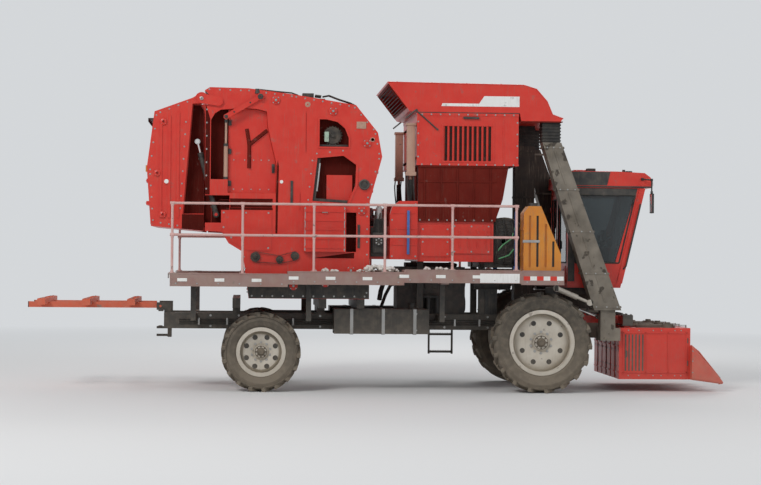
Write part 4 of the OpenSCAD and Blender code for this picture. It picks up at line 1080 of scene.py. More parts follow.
    def make_inner_sheets(self) -> None:
        """Builds dark sheets that paint shade behind the walls' windows, slots and gaps, on the pocket's
        floor round its ribs and on the side below the deck, and a dark seam line.
        """
        sheets, shades, sump_shade = Shape(), Shape(), Shape()
        for outline in self.window_outlines:
            sheets.prism(outline, -1.12, -1.108)
        for x, z in ((-3.62, 2.98), (-3.56, 3.67), (-2.93, 3.55), (-3.52, 3.83), (-3.52, 4.28),
                (-3.04, 3.83), (-3.09, 2.18), (-2.91, 2.18), (-3.09, 2.82)):
            sheets.stub((x, -1.12, z), -0.075, 0.008, 10)
        # Dark sheets behind the chamber window, in the tailgate recess and in the belt slot paint the shade
        # there.
        sheets.boxes(
            ((-5.24, -1.078, 3.25), (-4.88, -1.068, 4.45)), ((-4.935, -1.122, 3.3), (-4.9, -1.07, 4.4)),
            ((-5.32, -1.01, 2.56), (-4.86, -1, 3.12)), ((-4.9, -1.022, 2.62), (-4.87, -1.005, 2.98)),
            ((-4.895, -1.2135, 2.875), (-4.245, -1.209, 2.96)))
        sheets.prism([(-5.195, 2.605), (-4.905, 2.605), (-4.905, 2.995), (-5.06, 2.995), (-5.195, 2.86)],
            -1.064, -1.059)
        for outline in self.shade_and_seam_outlines:
            sheets.prism(outline, -self.wall - 0.0003, -self.wall - 0.0013)
        # Flat dark strips round each rib paint the ribs' shade on the pocket's floor.
        for (x0, z0), (x1, z1) in self.panel_ribs:
            run = Vector((x1 - x0, z1 - z0)).normalized() * 0.03
            shades.prism([(x0 - run.y, z0 + run.x), (x1 - run.y, z1 + run.x), (x1 + run.y, z1 - run.x),
                          (x0 + run.y, z0 - run.x)], -self.pocket - 0.0003, -self.pocket - 0.002)
        # A black sheet paints the shade on the baler's side below the deck.
        sump_shade.prism([(-4.598, 1.453), (-2.712, 1.453), (-2.712, 1.83), (-4.64, 1.83)], -self.wall - 0.0005,
                     -self.wall - 0.002)
        shades.pair("panel_rib_flanges", "dark_red_paint")
        sheets.pair("inner_sheets", "dark_red_paint", look="maroon_shade")
        sump_shade.pair("sump_skirts", "chassis_black")


@dataclass
class Tailgate(Assembly):
    """Bearings, bolts, lamps and hinge caps of the tailgate."""

    wall: float = 1.25
    rollers: tuple = ((-5.95, 4.2), (-6.04, 3.4), (-5.95, 2.75))
    edge_lines: tuple = (
        ((-6.15, 3.45), (-6.06, 4.3), 5), ((-6, 4.345), (-5.58, 4.515), 4), ((-6.15, 3.38), (-6.1, 2.66), 5),
        ((-5.98, 2.62), (-5.72, 2.58), 3), ((-5.675, 2.85), (-5.6, 4.2), 8))

    def make_sides(self) -> None:
        """Builds the details of the tailgate's walls."""
        housings, bolts, marks, caps, groove = Shape(), Shape(), Shape(), Shape(), Shape()
        y = -self.wall
        for x, z in self.rollers:
            housings.lathe((x, y - 0.014, z), [(0.02, 0), (0.055, 0), (0.05, 0.01), (0.03, 0.014),
                (0.02, 0.02)], 28)
            bolts.bolts(circle((x, y - 0.02, z), 0.04, 4, 45), 0.006)
        for (x0, z0), (x1, z1), count in self.edge_lines:
            bolts.bolts(row((x0, y, z0), (x1, y, z1), count), 0.009)
        marks.stub((-5.895, y - 0.014, 3.267), -0.008, 0.036, 28, 0.032)
        caps.lathe((-5.36, y - 0.04, 4.57), [(0.008, 0), (0.03, 0), (0.03, 0.008), (0.02, 0.012),
            (0.008, 0.012)], 24)
        # Dark maroon sheets paint the shade in the groove between the tailgate and the wall, and on the band
        # below it.
        groove.prisms(([(-5.625, 2.775), (-5.315, 2.775), (-5.33, 4.4), (-5.38, 4.475), (-5.49, 4.475)],
            y + 0.187, y + 0.192), ([(-5.65, 2.53), (-5.312, 2.505), (-5.312, 2.757), (-5.65, 2.757)],
            y - 0.0003, y - 0.0013))
        groove.pair("gate_groove_sheets", "dark_red_paint", "tailgate", look="maroon_shade")
        housings.pair("gate_bearings", "red_paint", "tailgate")
        bolts.pair("gate_bolts", "roller_steel", "tailgate")
        marks.pair("gate_reflectors", "lamp_lens", "tailgate")
        caps.pair("gate_hinge_caps", "roller_steel", "tailgate")

    def make_rear(self) -> None:
        """Builds the rear panel's flanges, bolts, lamps and fin."""
        panel, lamps, fin = Shape(), Shape(), Shape()
        for y in (-0.85, -0.28, 0.28, 0.85):
            for x0, z0, x1, z1 in ((-6.137, 2.6, -6.199, 3.44), (-6.196, 3.56, -6.095, 4.34)):
                panel.prism([(x0 + 0.01, z0), (x0 - 0.018, z0), (x1 - 0.018, z1), (x1 + 0.01, z1)], y - 0.02,
                    y + 0.02)
        panel.bolts([(-6.21, y, z) for y in (-1.1, -0.6, 0, 0.6, 1.1) for z in (2.93, 3.28)], 0.01,
            axis=Axis.X)
        lamps.box((-6.225, -1.15, 3.42), (-6.19, -0.93, 3.52), 0.006)
        fin.boxes(((-6.2, -1, 4.255), (-6.08, 1, 4.272), 0.003), ((-6.2, -1, 4.215), (-6.19, 1, 4.26),
            0.002))
        panel.finish("gate_rear_ribs", "red_paint", "tailgate")
        lamps.pair("gate_lamps", "amber_plastic", "tailgate")
        fin.finish("gate_fin", "chassis_black", "tailgate")


@dataclass
class BaleRamp(Assembly):
    """Bolts, edge strips and hinge collars of the bale ramp."""

    slats: tuple = (-7.9, -7.2, -6.5)
    rear: float = -8.1

    def make_ramp(self) -> None:
        """Builds the ramp's details."""
        bolts, strips, collars = Shape(), Shape(), Shape()
        for x in self.slats:
            bolts.bolts([(x + 0.06, y, 1.42) for y in (-0.92, -0.62, -0.45, 0.45, 0.62, 0.92)], 0.01, 1,
                Axis.Z)
            for k in range(19):
                strips.box((x + 0.012, 0.1 * k - 0.904, 1.42), (x + 0.108, 0.1 * k - 0.896, 1.424))
            strips.box((x - 0.006, -1, 1.33), (x, 1, 1.41), 0.002)
        for y in (-0.495, -0.405):
            collars.ring((-6, y, 1.3), 0.026, 0.007, 24)
        collars.box((self.rear, -0.495, 1.268), (self.rear + 0.012, -0.405, 1.362), 0.002)
        bolts.finish("ramp_bolts", "roller_steel", "bale_ramp")
        strips.finish("ramp_strips", "ramp_paint", "bale_ramp")
        collars.pair("ramp_collars", "axle_iron", "bale_ramp")


@dataclass
class CottonBox(Assembly):
    """Louvre vanes, seams, struts and bolts of the accumulator, hopper and hood."""

    side: float = 1.3
    louvres: int = 10
    louvre_start: float = -1.54
    louvre_length: float = 0.77
    roof: float = 4.85
    slope: float = 0.02 / 2.16
    rear_low: Place = (-2.1, 4.42)
    rear_high: Place = (-2.45, 4.87)

    def make_louvres(self) -> None:
        """Builds a slanted vane in each louvre, a frame round them and a dark sheet behind them that paints
        the shade inside the louvres.
        """
        vanes, rim, screen = Shape(), Shape(), Shape()
        pitch, y = self.louvre_length / self.louvres, -self.side
        for k in range(self.louvres):
            x = self.louvre_start + k * pitch
            vanes.prism([(x - 0.004, 3.642), (x + 0.004, 3.642), (x + 0.004, 4.183), (x - 0.004, 4.183)],
                y - 0.012, y + 0.029)
            for z in (3.72, 3.9, 4.08):
                vanes.box((x + 0.006, y + 0.008, z), (x + pitch * 0.55, y + 0.014, z + 0.006))
        left, right = self.louvre_start - 0.03, self.louvre_start + self.louvre_length
        rim.boxes(
            ((left, y - 0.008, 4.19), (right, y + 0.002, 4.212), 0.002),
            ((left, y - 0.008, 3.612), (right, y + 0.002, 3.634), 0.002),
            ((right - 0.005, y - 0.009, 3.6), (right + 0.02, y + 0.002, 4.24), 0.002),
            ((left - 0.02, y - 0.009, 3.6), (left, y + 0.002, 4.24), 0.002))
        # The dark brown sheet behind the vanes paints the shade inside the louvres.
        screen.box((left, y + 0.028, 3.615), (right, y + 0.036, 4.21))
        screen.pair("louvre_screens", "chassis_black", look="soot_brown")
        vanes.pair("louvre_vanes", "dark_red_paint")
        rim.pair("louvre_frame", "red_paint")

    def make_seams(self) -> None:
        """Builds the flanges and bolts round the accumulator, a small black block, and a dark strip that
        paints the hood's shadow.
        """
        flanges, bolts, dark = Shape(), Shape(), Shape()
        y = -self.side
        flanges.boxes(
            ((-1.985, y - 0.006, 3.565), (-0.365, y + 0.002, 3.595), 0.003),
            ((-1.985, y - 0.006, 4.345), (-0.365, y + 0.002, 4.39), 0.003),
            ((-1.98, y - 0.005, 3.6), (-1.94, y + 0.002, 4.34), 0.003),
            ((-0.41, y - 0.005, 3.6), (-0.37, y + 0.002, 4.34), 0.003),
            ((-0.62, y - 0.005, 3.6), (-0.6, y + 0.002, 4.34), 0.003))
        for z in (3.58, 4.368):
            bolts.bolts(row((-1.9, y - 0.006, z), (-0.45, y - 0.006, z), 11), 0.009)
        for x in (-1.96, -0.39):
            bolts.bolts(row((x, y - 0.005, 3.7), (x, y - 0.005, 4.25), 4), 0.009)
        # This black strip under the hood's lower edge paints the hood's shadow on the accumulator.
        dark.box((-1.99, y - 0.004, 4.392), (-0.36, y + 0.002, 4.404))
        dark.box((-1.25, y - 0.03, 4.3), (-1, y - 0.002, 4.335), 0.004)
        for y0, y1 in ((-1.25, -0.45), (-0.4, 0.4), (0.45, 1.25)):
            for x, z in ((-0.372, 3.66), (-1.988, 3.66), (-1.988, 4.2)):
                flanges.box((x, y0, z), (x + 0.01, y1, z + 0.04), 0.003)
        flanges.pair("box_flanges", "red_paint")
        bolts.pair("box_bolts", "roller_steel")
        dark.pair("box_joint", "chassis_black")

    def make_struts(self) -> None:
        """Builds the folding struts and the pale column at the accumulator's rear corner."""
        struts, column, hoses = Shape(), Shape(), Shape()
        y = -self.side - 0.011
        struts.tube([(-1.99, y, 4.42), (-1.66, y, 4.13)], 0.012, 8).tube([(-2.16, y, 4.3), (-1.99, y, 4.44)],
            0.012, 8)
        struts.bolts([(-1.99, y - 0.006, 4.43), (-1.66, y - 0.006, 4.13)], 0.012)
        column.boxes(((-2.13, -1.24, 3.45), (-2, -1.1, 4.2), 0.01), ((-2.145, -1.25, 3.4),
            (-1.982, -1.09, 3.46), 0.006), ((-2.145, -1.25, 4.19), (-1.982, -1.09, 4.23), 0.006))
        column.post((-2.065, -1.17, 3.02), 0.39, 0.022)
        hoses.post((-2.065, -1.17, 3), 0.34, 0.04, 20)
        for x in (-2.12, -2.02):
            hoses.tube([(x, -1.23, 3.42), (x - 0.01, -1.255, 3.3), (x, -1.26, 3.15),
                (x + 0.015, -1.24, 3.01)], 0.011)
            hoses.post((x, -1.23, 3.4), 0.06, 0.015, 10)
        struts.pair("hood_struts", "chassis_black")
        column.pair("rear_columns", "rail_paint", look="column_tan")
        hoses.pair("column_lines", "boot_rubber")

    def make_hopper(self) -> None:
        """Builds the stiffeners on the hopper's walls."""
        ribs, bolts = Shape(), Shape()
        y = -1.28
        for x in (-1.86, -1.6, -1.34, -1.08, -0.82):
            ribs.box((x, y - 0.012, 2.72), (x + 0.02, y + 0.002, 3.52), 0.003)
        for z in (2.98, 3.3):
            ribs.box((-1.94, y - 0.01, z), (-0.72, y + 0.002, z + 0.025), 0.003)
        ribs.box((-1.955, y - 0.014, 3.535), (-0.53, y + 0.002, 3.562), 0.002)
        bolts.bolts(row((-1.92, y, 2.705), (-0.78, y, 2.705), 9))
        for y0 in (-1, -0.4, 0.2, 0.8):
            ribs.prism([(-0.605, 3.04), (-0.59, 3.04), (-0.505, 3.55), (-0.52, 3.55)], y0, y0 + 0.03)
            ribs.box((-1.962, y0, 2.72), (-1.948, y0 + 0.03, 3.54), 0.003)
        ribs.pair("hopper_ribs", "dark_red_paint")
        bolts.pair("hopper_bolts", "roller_steel")

    def make_hood(self) -> None:
        """Builds the hood's roof seams, edge lips and rear frame."""
        seams, lip = Shape(), Shape()
        outline = ((-2.45, 4.866), (-0.29, 4.846), (-0.09, 4.786), (0.08, 4.596), (0.17, 4.386),
            (0.34, 4.326))
        seams.tube([(x, -1.298, z) for x, z in outline], 0.009, 8)
        seams.bolts([(x, -1.26, self.top(x)) for x in (-2.2, -1.6, -1, -0.5)], sign=1,
            axis=Axis.Z).mirrored()
        for x in (-2.3, -1.75, -1.2, -0.65):
            seams.box((x - 0.012, -1.29, self.top(x) - 0.004), (x + 0.012, 1.29, self.top(x) + 0.01), 0.003)
        lip.prism(self.strip(0.06, 0.54), -1.22, -1.18).box((-0.35, -1.302, 4.262), (0.3, -1.282, 4.282),
            0.002)
        lip.prism(self.strip(0.06, 0.54), 1.18, 1.22).box((-0.35, 1.278, 4.262), (0.3, 1.298, 4.282), 0.002)
        lip.prism(self.strip(0.06, 0.1), -1.2, 1.2).prism(self.strip(0.5, 0.54), -1.2, 1.2)
        lip.box((0.3, -1.3, 4.268), (0.335, 1.3, 4.282), 0.002)
        sign = [(-1.6, 4.5), (-0.36, 4.5), (-0.36, 4.665), (-0.92, 4.665), (-1, 4.545), (-1.58, 4.545)]
        Shape().prism(sign, -1.303, -1.299).pair("hood_signs", "lamp_lens", look="sign_white")
        seams.finish("hood_seams", "red_paint")
        lip.finish("hood_lips", "dark_red_paint")

    def top(self, x: float) -> float:
        """Gives the height of the hood's roof at x."""
        return self.roof + (-0.29 - x) * self.slope

    def strip(self, start: float, end: float) -> list[Vector]:
        """Gives the side outline of a strip on the hood's slanted rear, between two distances up it."""
        low = Vector(self.rear_low)
        run = (Vector(self.rear_high) - low).normalized()
        out = Vector((-run.y, run.x)) * 0.012
        a, b = low + run * start, low + run * end
        return [a, a + out, b + out, b]


@dataclass
class Feeder(Assembly):
    """Bolts, posts, pipes and machinery round the feeder."""

    side: float = 1.24
    cover: float = 1.29

    def make_walls(self) -> None:
        """Builds the bolts, ribs and posts on the feeder's walls."""
        bolts, ribs, posts, corner = Shape(), Shape(), Shape(), Shape()
        y = -self.side - 0.022
        bolts.bolts([(x, -self.side - 0.015, z) for x in (-1.87, -1.48) for z in (2.17, 2.36, 2.56)], 0.009)
        bolts.bolts([(x, y, z) for x in (-1.37, -1.1, -0.83) for z in (2.21, 2.61)], 0.009)
        for x in (-1.3, -1.16, -1.02, -0.88):
            ribs.box((x, y - 0.01, 2.27), (x + 0.02, y + 0.001, 2.55), 0.004)
        ribs.box((-1.95, -self.side - 0.006, 2.635), (-1.42, -self.side + 0.001, 2.66), 0.002)
        for z in (2.3, 2.55, 2.8):
            ribs.box((-2.37, -self.cover - 0.008, z), (-1.98, -self.cover + 0.001, z + 0.02), 0.003)
        corners = ((-2.36, 2.13), (-1.99, 2.13), (-2.36, 2.7), (-1.99, 2.95))
        bolts.bolts([(x, -self.cover, z) for x, z in corners], 0.009)
        posts.box((-2.125, -1.325, 2.16), (-2.085, -1.297, 2.85), 0.004)
        posts.bolts([(-2.105, -1.325, 2.22), (-2.105, -1.325, 2.79)])
        corner.boxes(((-0.415, -1.3, 1.98), (-0.375, -1.26, 2.85), 0.004), ((-0.43, -1.31, 1.92),
            (-0.36, -1.25, 1.985), 0.004))
        bolts.pair("feeder_bolts", "roller_steel")
        ribs.pair("feeder_ribs", "red_paint")
        posts.pair("feeder_posts", "rail_paint", look="post_blue")
        corner.pair("corner_posts", "rail_paint", look="post_blue")

    def make_fan(self) -> None:
        """Builds the fan, its drive and the pipes ahead of the feeder."""
        fan, pipes, green = Shape(), Shape(), Shape()
        fan.lathe((-0.56, -0.2, 2.38), [(0.05, -0.98), (0.36, -0.98), (0.38, -0.95), (0.38, 0.15),
            (0.36, 0.18), (0.05, 0.18)], 40, 1)
        fan.lathe((-0.56, 1, 2.38), [(0.05, -0.62), (0.36, -0.62), (0.38, -0.6), (0.38, 0.12), (0.36, 0.15),
                                       (0.05, 0.15)], 40, 1)
        fan.box((-0.88, -1.16, 1.96), (-0.24, 1.16, 2.06), 0.01)
        for k in range(6):
            fan.ring((-0.56, -1.184, 2.38), 0.06 + 0.055 * k, 0.006)
        for x in (-0.72, -0.59, -0.46):
            pipes.tube([(x, -1.2, 2.02), (x + 0.02, -1.235, 2.14), (x + 0.05, -1.24, 2.34),
                (x + 0.03, -1.23, 2.56), (x, -1.2, 2.72)], 0.014)
        green.tube([(-0.7, -1.225, 2.2), (-0.6, -1.25, 2.32), (-0.46, -1.245, 2.42), (-0.4, -1.22, 2.6)],
            0.012)
        green.tube([(-0.66, -1.225, 2.1), (-0.5, -1.25, 2.16), (-0.42, -1.24, 2.26)], 0.012)
        fan.finish("fan_housing", "chassis_black")
        pipes.pair("fan_pipes", "boot_rubber")
        green.pair("fan_lines", "boot_rubber", look="pipe_green")

    def make_pumps(self) -> None:
        """Builds the pumps and lines in the gap between the feeder and the baler."""
        black, grey, lines = Shape(), Shape(), Shape()
        black.boxes(((-2.68, -1.1, 2.12), (-2.42, -1.051, 2.58), 0.01), ((-2.66, -1.16, 2.18),
            (-2.46, -1.09, 2.5), 0.02), ((-2.64, -1.1, 2.57), (-2.44, -0.98, 2.72), 0.012))
        black.stub((-2.56, -1.09, 2.36), -0.11, 0.075, 28, 0.065)
        grey.posts(((-2.55, -1.04, 2.72), 0.18, 0.055, 24, 0.05), ((-2.55, -1.04, 2.9), 0.04, 0.03))
        grey.bolts(circle((-2.56, -1.2, 2.36), 0.045, 6))
        for x in (-2.63, -2.555, -2.48):
            lines.tube([(x, -1.13, 2.49), (x - 0.01, -1.15, 2.6), (x + 0.01, -1.13, 2.75),
                (x + 0.03, -1.05, 2.84), (x + 0.06, -0.9, 2.8), (x + 0.07, -0.8, 2.6)], 0.013)
        black.pair("feeder_pumps", "chassis_black")
        grey.pair("pump_filters", "roller_steel", look="pump_grey")
        lines.pair("pump_lines", "boot_rubber")


@dataclass
class Ducts(Assembly):
    """Flange bands, stiffeners, bolts, folds and braces of the air ducts and their boots."""

    half: float = 0.15
    centre: float = 1.1
    rear_edge: tuple = ((0.868, 1.3), (0.02, 3.95))
    front_edge: tuple = ((1.303, 1.3), (0.32, 3.95))

    def make_bands(self) -> None:
        """Builds the bands, stiffeners and bolts of the ducts."""
        bands, bolts, dark = Shape(), Shape(), Shape()
        outer, inner = -self.centre - self.half, -self.centre + self.half
        for share in (0.02, 0.22, 0.47, 0.72, 0.97):
            a, b = self.edges(share)
            band = [(a.x - 0.012, a.y - 0.014), (b.x + 0.012, b.y - 0.014), (b.x + 0.002, b.y + 0.016),
                    (a.x - 0.022, a.y + 0.016)]
            bands.prisms((band, outer - 0.01, outer + 0.001), (band, inner - 0.001, inner + 0.01))
            for x0, x1, z in ((a.x - 0.022, a.x - 0.002, a.y), (b.x + 0.002, b.x + 0.02, b.y)):
                bands.prism([(x0 + 0.006, z - 0.014), (x1 + 0.002, z - 0.014), (x1 - 0.006, z + 0.016),
                             (x0, z + 0.016)], outer - 0.01, inner + 0.01)
            bolts.bolts(row((a.x + 0.05, outer - 0.01, a.y), (b.x - 0.05, outer - 0.01, b.y), 3))
        for low, high in ((0.05, 0.2), (0.25, 0.45), (0.5, 0.7), (0.75, 0.95)):
            a, b = sum(self.edges(low), Vector((0, 0))) / 2, sum(self.edges(high), Vector((0, 0))) / 2
            bands.prism([(a.x - 0.012, a.y), (a.x + 0.012, a.y), (b.x + 0.012, b.y), (b.x - 0.012, b.y)],
                        outer - 0.01, outer + 0.002)
        # The middle duct's bands are dark brown as painted shade, like the duct.
        for z in (1.75, 2.4, 3.1, 3.85):
            dark.box((-0.268, -0.16, z), (0.068, 0.16, z + 0.03), 0.003)
        dark.finish("middle_duct_bands", "duct_grey", look="soot_brown")
        bands.pair("duct_bands", "duct_grey")
        bolts.pair("duct_bolts", "roller_steel")

    def edges(self, share: float) -> tuple[Vector, Vector]:
        """Gives the side ducts' rear and front edges at a share of their height."""
        rear, front = self.rear_edge, self.front_edge
        return Vector(rear[0]).lerp(Vector(rear[1]), share), Vector(front[0]).lerp(Vector(front[1]), share)

    def make_boots(self) -> None:
        """Builds the folds of the rubber boots on the ducts."""
        folds = Shape()
        for y, x0, x1 in ((-1.1, 0.008, 0.312), (0, -0.252, 0.072), (1.1, 0.008, 0.312)):
            for k in range(6):
                z = 3.965 + 0.05 * k
                folds.box((x0, y - self.half - 0.012, z), (x1, y + self.half + 0.012, z + 0.026), 0.009)
        folds.finish("boot_folds", "boot_rubber", smooth=50)

    def make_stays(self) -> None:
        """Builds the braces from the decks to the feet of the side ducts."""
        stays, lugs = Shape(), Shape()
        top, joint, foot = (0.26, -1.25, 1.64), (0.6, -1.23, 1.5), (0.8, -1.22, 1.418)
        stays.rods((top, joint, 0.042, 20), (joint, foot, 0.026))
        stays.stubs(((0.26, -1.28, 1.64), 0.06, 0.05, 20), ((0.8, -1.25, 1.418), 0.06, 0.05, 20))
        lugs.stub((0.26, -1.325, 1.64), 0.125, 0.02, 14)
        lugs.box((0.235, -1.31, 1.6), (0.285, -1.278, 1.9), 0.004)
        lugs.box((0.775, -1.245, 1.385), (0.85, -1.195, 1.45), 0.006)
        stays.pair("duct_stays", "rim_paint")
        lugs.pair("stay_lugs", "chassis_black")


@dataclass
class Cab(Assembly):
    """Seals, handles, wiper, lamps and the inside of the cab."""

    floor: float = 1.7
    window: tuple = ((0.62, 2.05), (1.336, 2.05), (1.592, 3.14), (0.62, 3.14))

    def make_seals(self) -> None:
        """Builds the rubber seals round the windows, the windscreen's posts, the dark pillars and a black
        sheet that paints a shadow on the roof's rear half.
        """
        seals, posts, pillars = Shape(), Shape(), Shape()
        seals.loop([(x, -0.848, z) for x, z in self.window], 0.013)
        seals.tube([(1.397, -0.76, 1.81), (1.708, -0.76, 3.164)], 0.012, 8).mirrored()
        for x, z in ((1.397, 1.81), (1.708, 3.164)):
            seals.tube([(x, -0.76, z), (x, 0.76, z)], 0.012, 8)
        seals.loop([(0.502, y, z) for y, z in ((-0.72, 2.05), (0.1, 2.05), (0.1, 3.1), (-0.72, 3.1))], 0.012)
        posts.prisms(
            ([(1.3, 1.72), (1.385, 1.72), (1.752, 3.25), (1.66, 3.25)], -0.842, -0.868),
            ([(0.5, 1.68), (1.362, 1.68), (1.374, 1.73), (0.5, 1.73)], -0.842, -0.862))
        posts.bolts([(x, -0.862, 1.705) for x in (0.56, 0.8, 1.04, 1.28)])
        pillars.prisms(
            # The third sheet, on the side of the roof's rear half, is a painted shadow.
            ([(0.505, 1.75), (0.612, 1.75), (0.612, 3.25), (0.505, 3.25)], -0.857, -0.848),
            ([(0.612, 3.145), (1.6, 3.145), (1.625, 3.25), (0.612, 3.25)], -0.857, -0.848),
            ([(0.458, 3.295), (1.13, 3.295), (1.18, 3.512), (0.564, 3.512), (0.466, 3.435)], -0.875, -0.868))
        pillars.pair("cab_pillars", "chassis_black")
        seals.finish("window_seals", "boot_rubber")
        posts.pair("cab_trims", "red_paint")

    def make_outside(self) -> None:
        """Builds the wiper, grab rails and the lower front panel's details."""
        wiper, rails, panel = Shape(), Shape(), Shape()
        wiper.rod(self.pane(0, 3.2, 0), self.pane(0, 3.2, 0.05), 0.02)
        wiper.tube([self.pane(0, 3.2, 0.045), self.pane(-0.16, 2.8, 0.035), self.pane(-0.25, 2.55, 0.025)],
            0.008, 8)
        wiper.tube([self.pane(-0.3, 2.85, 0.028), self.pane(-0.22, 2.25, 0.02)], 0.011, 8)
        rails.tube([(1.4, -0.86, 1.95), (1.44, -0.9, 2), (1.66, -0.9, 2.95), (1.67, -0.86, 3)], 0.013)
        panel.box((1.372, -0.7, 1.7), (1.392, -0.3, 1.76), 0.004).mirrored()
        panel.box((0.49, -0.7, 1.72), (0.498, 0.08, 2), 0.003)
        panel.bolts([(0.49, y, z) for y in (-0.66, 0.04) for z in (1.76, 1.96)], axis=Axis.X)
        for k in range(6):
            panel.box((0.482, -0.62, 1.76 + 0.035 * k), (0.492, -0.05, 1.772 + 0.035 * k), 0.002)
        wiper.finish("wiper", "black_plastic")
        rails.pair("cab_grab_rails", "black_plastic")
        panel.finish("cab_panels", "red_paint")

    @staticmethod
    def pane(y: float, z: float, out: float) -> Point:
        """Gives a place on the slanted windscreen, or some way out from it."""
        return 1.36 + (z - 1.65) * (1.73 - 1.36) / (3.26 - 1.65) + out, y, z

    def make_roof(self) -> None:
        """Builds the roof's ribs, beacon mount, lamp housings and edge trim."""
        ribs, trim, lens = Shape(), Shape(), Shape()
        for y in (-0.55, -0.18):
            ribs.box((0.62, y - 0.06, 3.518), (1.28, y + 0.06, 3.532), 0.006)
        ribs.mirrored().box((0.7, -0.2, 3.53), (1, 0.2, 3.57), 0.015)
        trim.box((0.45, -0.885, 3.262), (1.86, -0.869, 3.285), 0.003)
        trim.box((0.45, 0.865, 3.262), (1.86, 0.881, 3.285), 0.003)
        trim.posts(
            ((0.85, 0.62, 3.52), 0.04, 0.05, 24), ((0.85, 0.62, 3.56), 0.03, 0.012, 12),
            ((1.45, -0.6, 3.5), 0.06, 0.03, 20, 0.024))
        trim.boxes(((1.48, -0.66, 3.48), (1.58, -0.54, 3.54), 0.012), ((0.84, -0.66, 3.5),
            (0.98, -0.52, 3.575), 0.012), ((1.855, -0.3, 3.29), (1.872, 0.3, 3.36), 0.004))
        for y in (-0.7, -0.45, 0.45, 0.7):
            trim.box((1.862, y - 0.075, 3.275), (1.885, y + 0.075, 3.385), 0.01)
            lens.box((1.899, y - 0.052, 3.298), (1.903, y + 0.052, 3.362), 0.001)
            for k in range(5):
                lens.box((1.902, y - 0.05 + 0.022 * k, 3.3), (1.906, y - 0.044 + 0.022 * k, 3.36))
        ribs.finish("roof_ribs", "red_paint")
        trim.finish("roof_fittings", "black_plastic")
        lens.finish("lamp_ribs", "lamp_lens")

    def make_inside(self) -> None:
        """Builds the armrest, screens, steering column, pedals and roof lining."""
        dark, metal, screens = Shape(), Shape(), Shape()
        dark.boxes(((0.62, -0.78, 3.17), (1.55, 0.78, 3.205), 0.01), ((0.6, -0.78, self.floor),
            (1.3, 0.78, self.floor + 0.008)), ((0.72, -0.47, 2.262), (1.14, -0.31, 2.3), 0.012),
            ((1.13, -0.6, 2.38), (1.17, -0.34, 2.58), 0.008), ((1.28, -0.3, 2.31), (1.33, 0.3, 2.42), 0.02))
        dark.rods(((1.06, -0.39, 2.29), (1.08, -0.39, 2.42), 0.018, 16, 0.014),
            ((1.08, -0.39, 2.42), (1.09, -0.39, 2.5), 0.024, 20, 0.03), ((1.14, -0.45, 2.26),
            (1.15, -0.45, 2.4), 0.012, 12))
        screens.boxes(((1.125, -0.58, 2.4), (1.131, -0.36, 2.56), 0.002), ((1.275, -0.12, 2.33),
            (1.281, 0.12, 2.4), 0.002))
        for y in (-0.12, 0.14):
            metal.tube([(1.34, y, self.floor + 0.01), (1.28, y, self.floor + 0.14)], 0.009, 8)
            metal.box((1.22, y - 0.04, self.floor + 0.1), (1.3, y + 0.04, self.floor + 0.13), 0.004)
        for k in range(8):
            metal.post((0.8 + 0.035 * k, -0.445, 2.3), 0.008, 0.009, 10)
        dark.finish("cab_inside", "black_plastic")
        metal.finish("cab_pedals", "roller_steel")
        screens.finish("cab_screens", "black_plastic", look="screen_glass")

    def make_seat(self) -> None:
        """Builds the seat as crowned cushions on a pedestal with bellows."""
        z = self.floor
        pedestal = Shape().box((0.68, -0.19, z), (0.94, 0.19, z + 0.05), 0.01)
        for k in range(6):
            low, wide = z + 0.05 + 0.045 * k, 0.15 - 0.012 * (k % 2)
            pedestal.box((0.83 - wide, -wide, low), (0.79 + wide, wide, low + 0.045), 0.014)
        pedestal.box((0.66, -0.21, z + 0.315), (1.02, 0.21, z + 0.345), 0.008)
        base = pedestal.finish("seat_pedestal", "seat_fabric", look="black_plastic")
        cushion = self.cushion("seat_cushion", (0.655, -0.238, z + 0.34), (1.048, 0.238, z + 0.448), 2)
        backrest = self.cushion("seat_backrest", (0.622, -0.228, z + 0.44), (0.728, 0.228, z + 1.048), 0)
        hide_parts("seat")
        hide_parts("seat")
        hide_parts("seat")

    @staticmethod
    def cushion(name: str, low: Point, high: Point, up: int) -> bpy.types.Object:
        """Builds a cushion whose face is crowned, with sewn channels.

        Args:
            name: the piece's name.
            low: its lowest corner.
            high: its highest corner.
            up: the axis that its crowned face looks along.

        Returns:
            The cushion.
        """
        shape = Shape().box(low, high)
        middle, half = (at(*low) + at(*high)) / 2, (at(*high) - at(*low)) / 2
        bmesh.ops.subdivide_edges(shape.mesh, edges=list(shape.mesh.edges), cuts=19, use_grid_fill=True)
        a, b = (k for k in range(3) if k != up)
        for vert in shape.mesh.verts:
            place = [(vert.co[k] - middle[k]) / half[k] for k in range(3)]
            crown = (1 - place[a] ** 4) * (1 - place[b] ** 4)
            seam = 0.1 if abs(abs(place[1]) - 0.62) < 0.05 else 0
            place[a], place[b] = (place[k] * (1 - 0.06 * place[up] ** 2) for k in (a, b))
            place[up] *= 0.66 + 0.34 * crown - seam * crown
            vert.co = [middle[k] + half[k] * place[k] for k in range(3)]
        piece = shape.finish(name, "seat_fabric", smooth=70)
        return piece

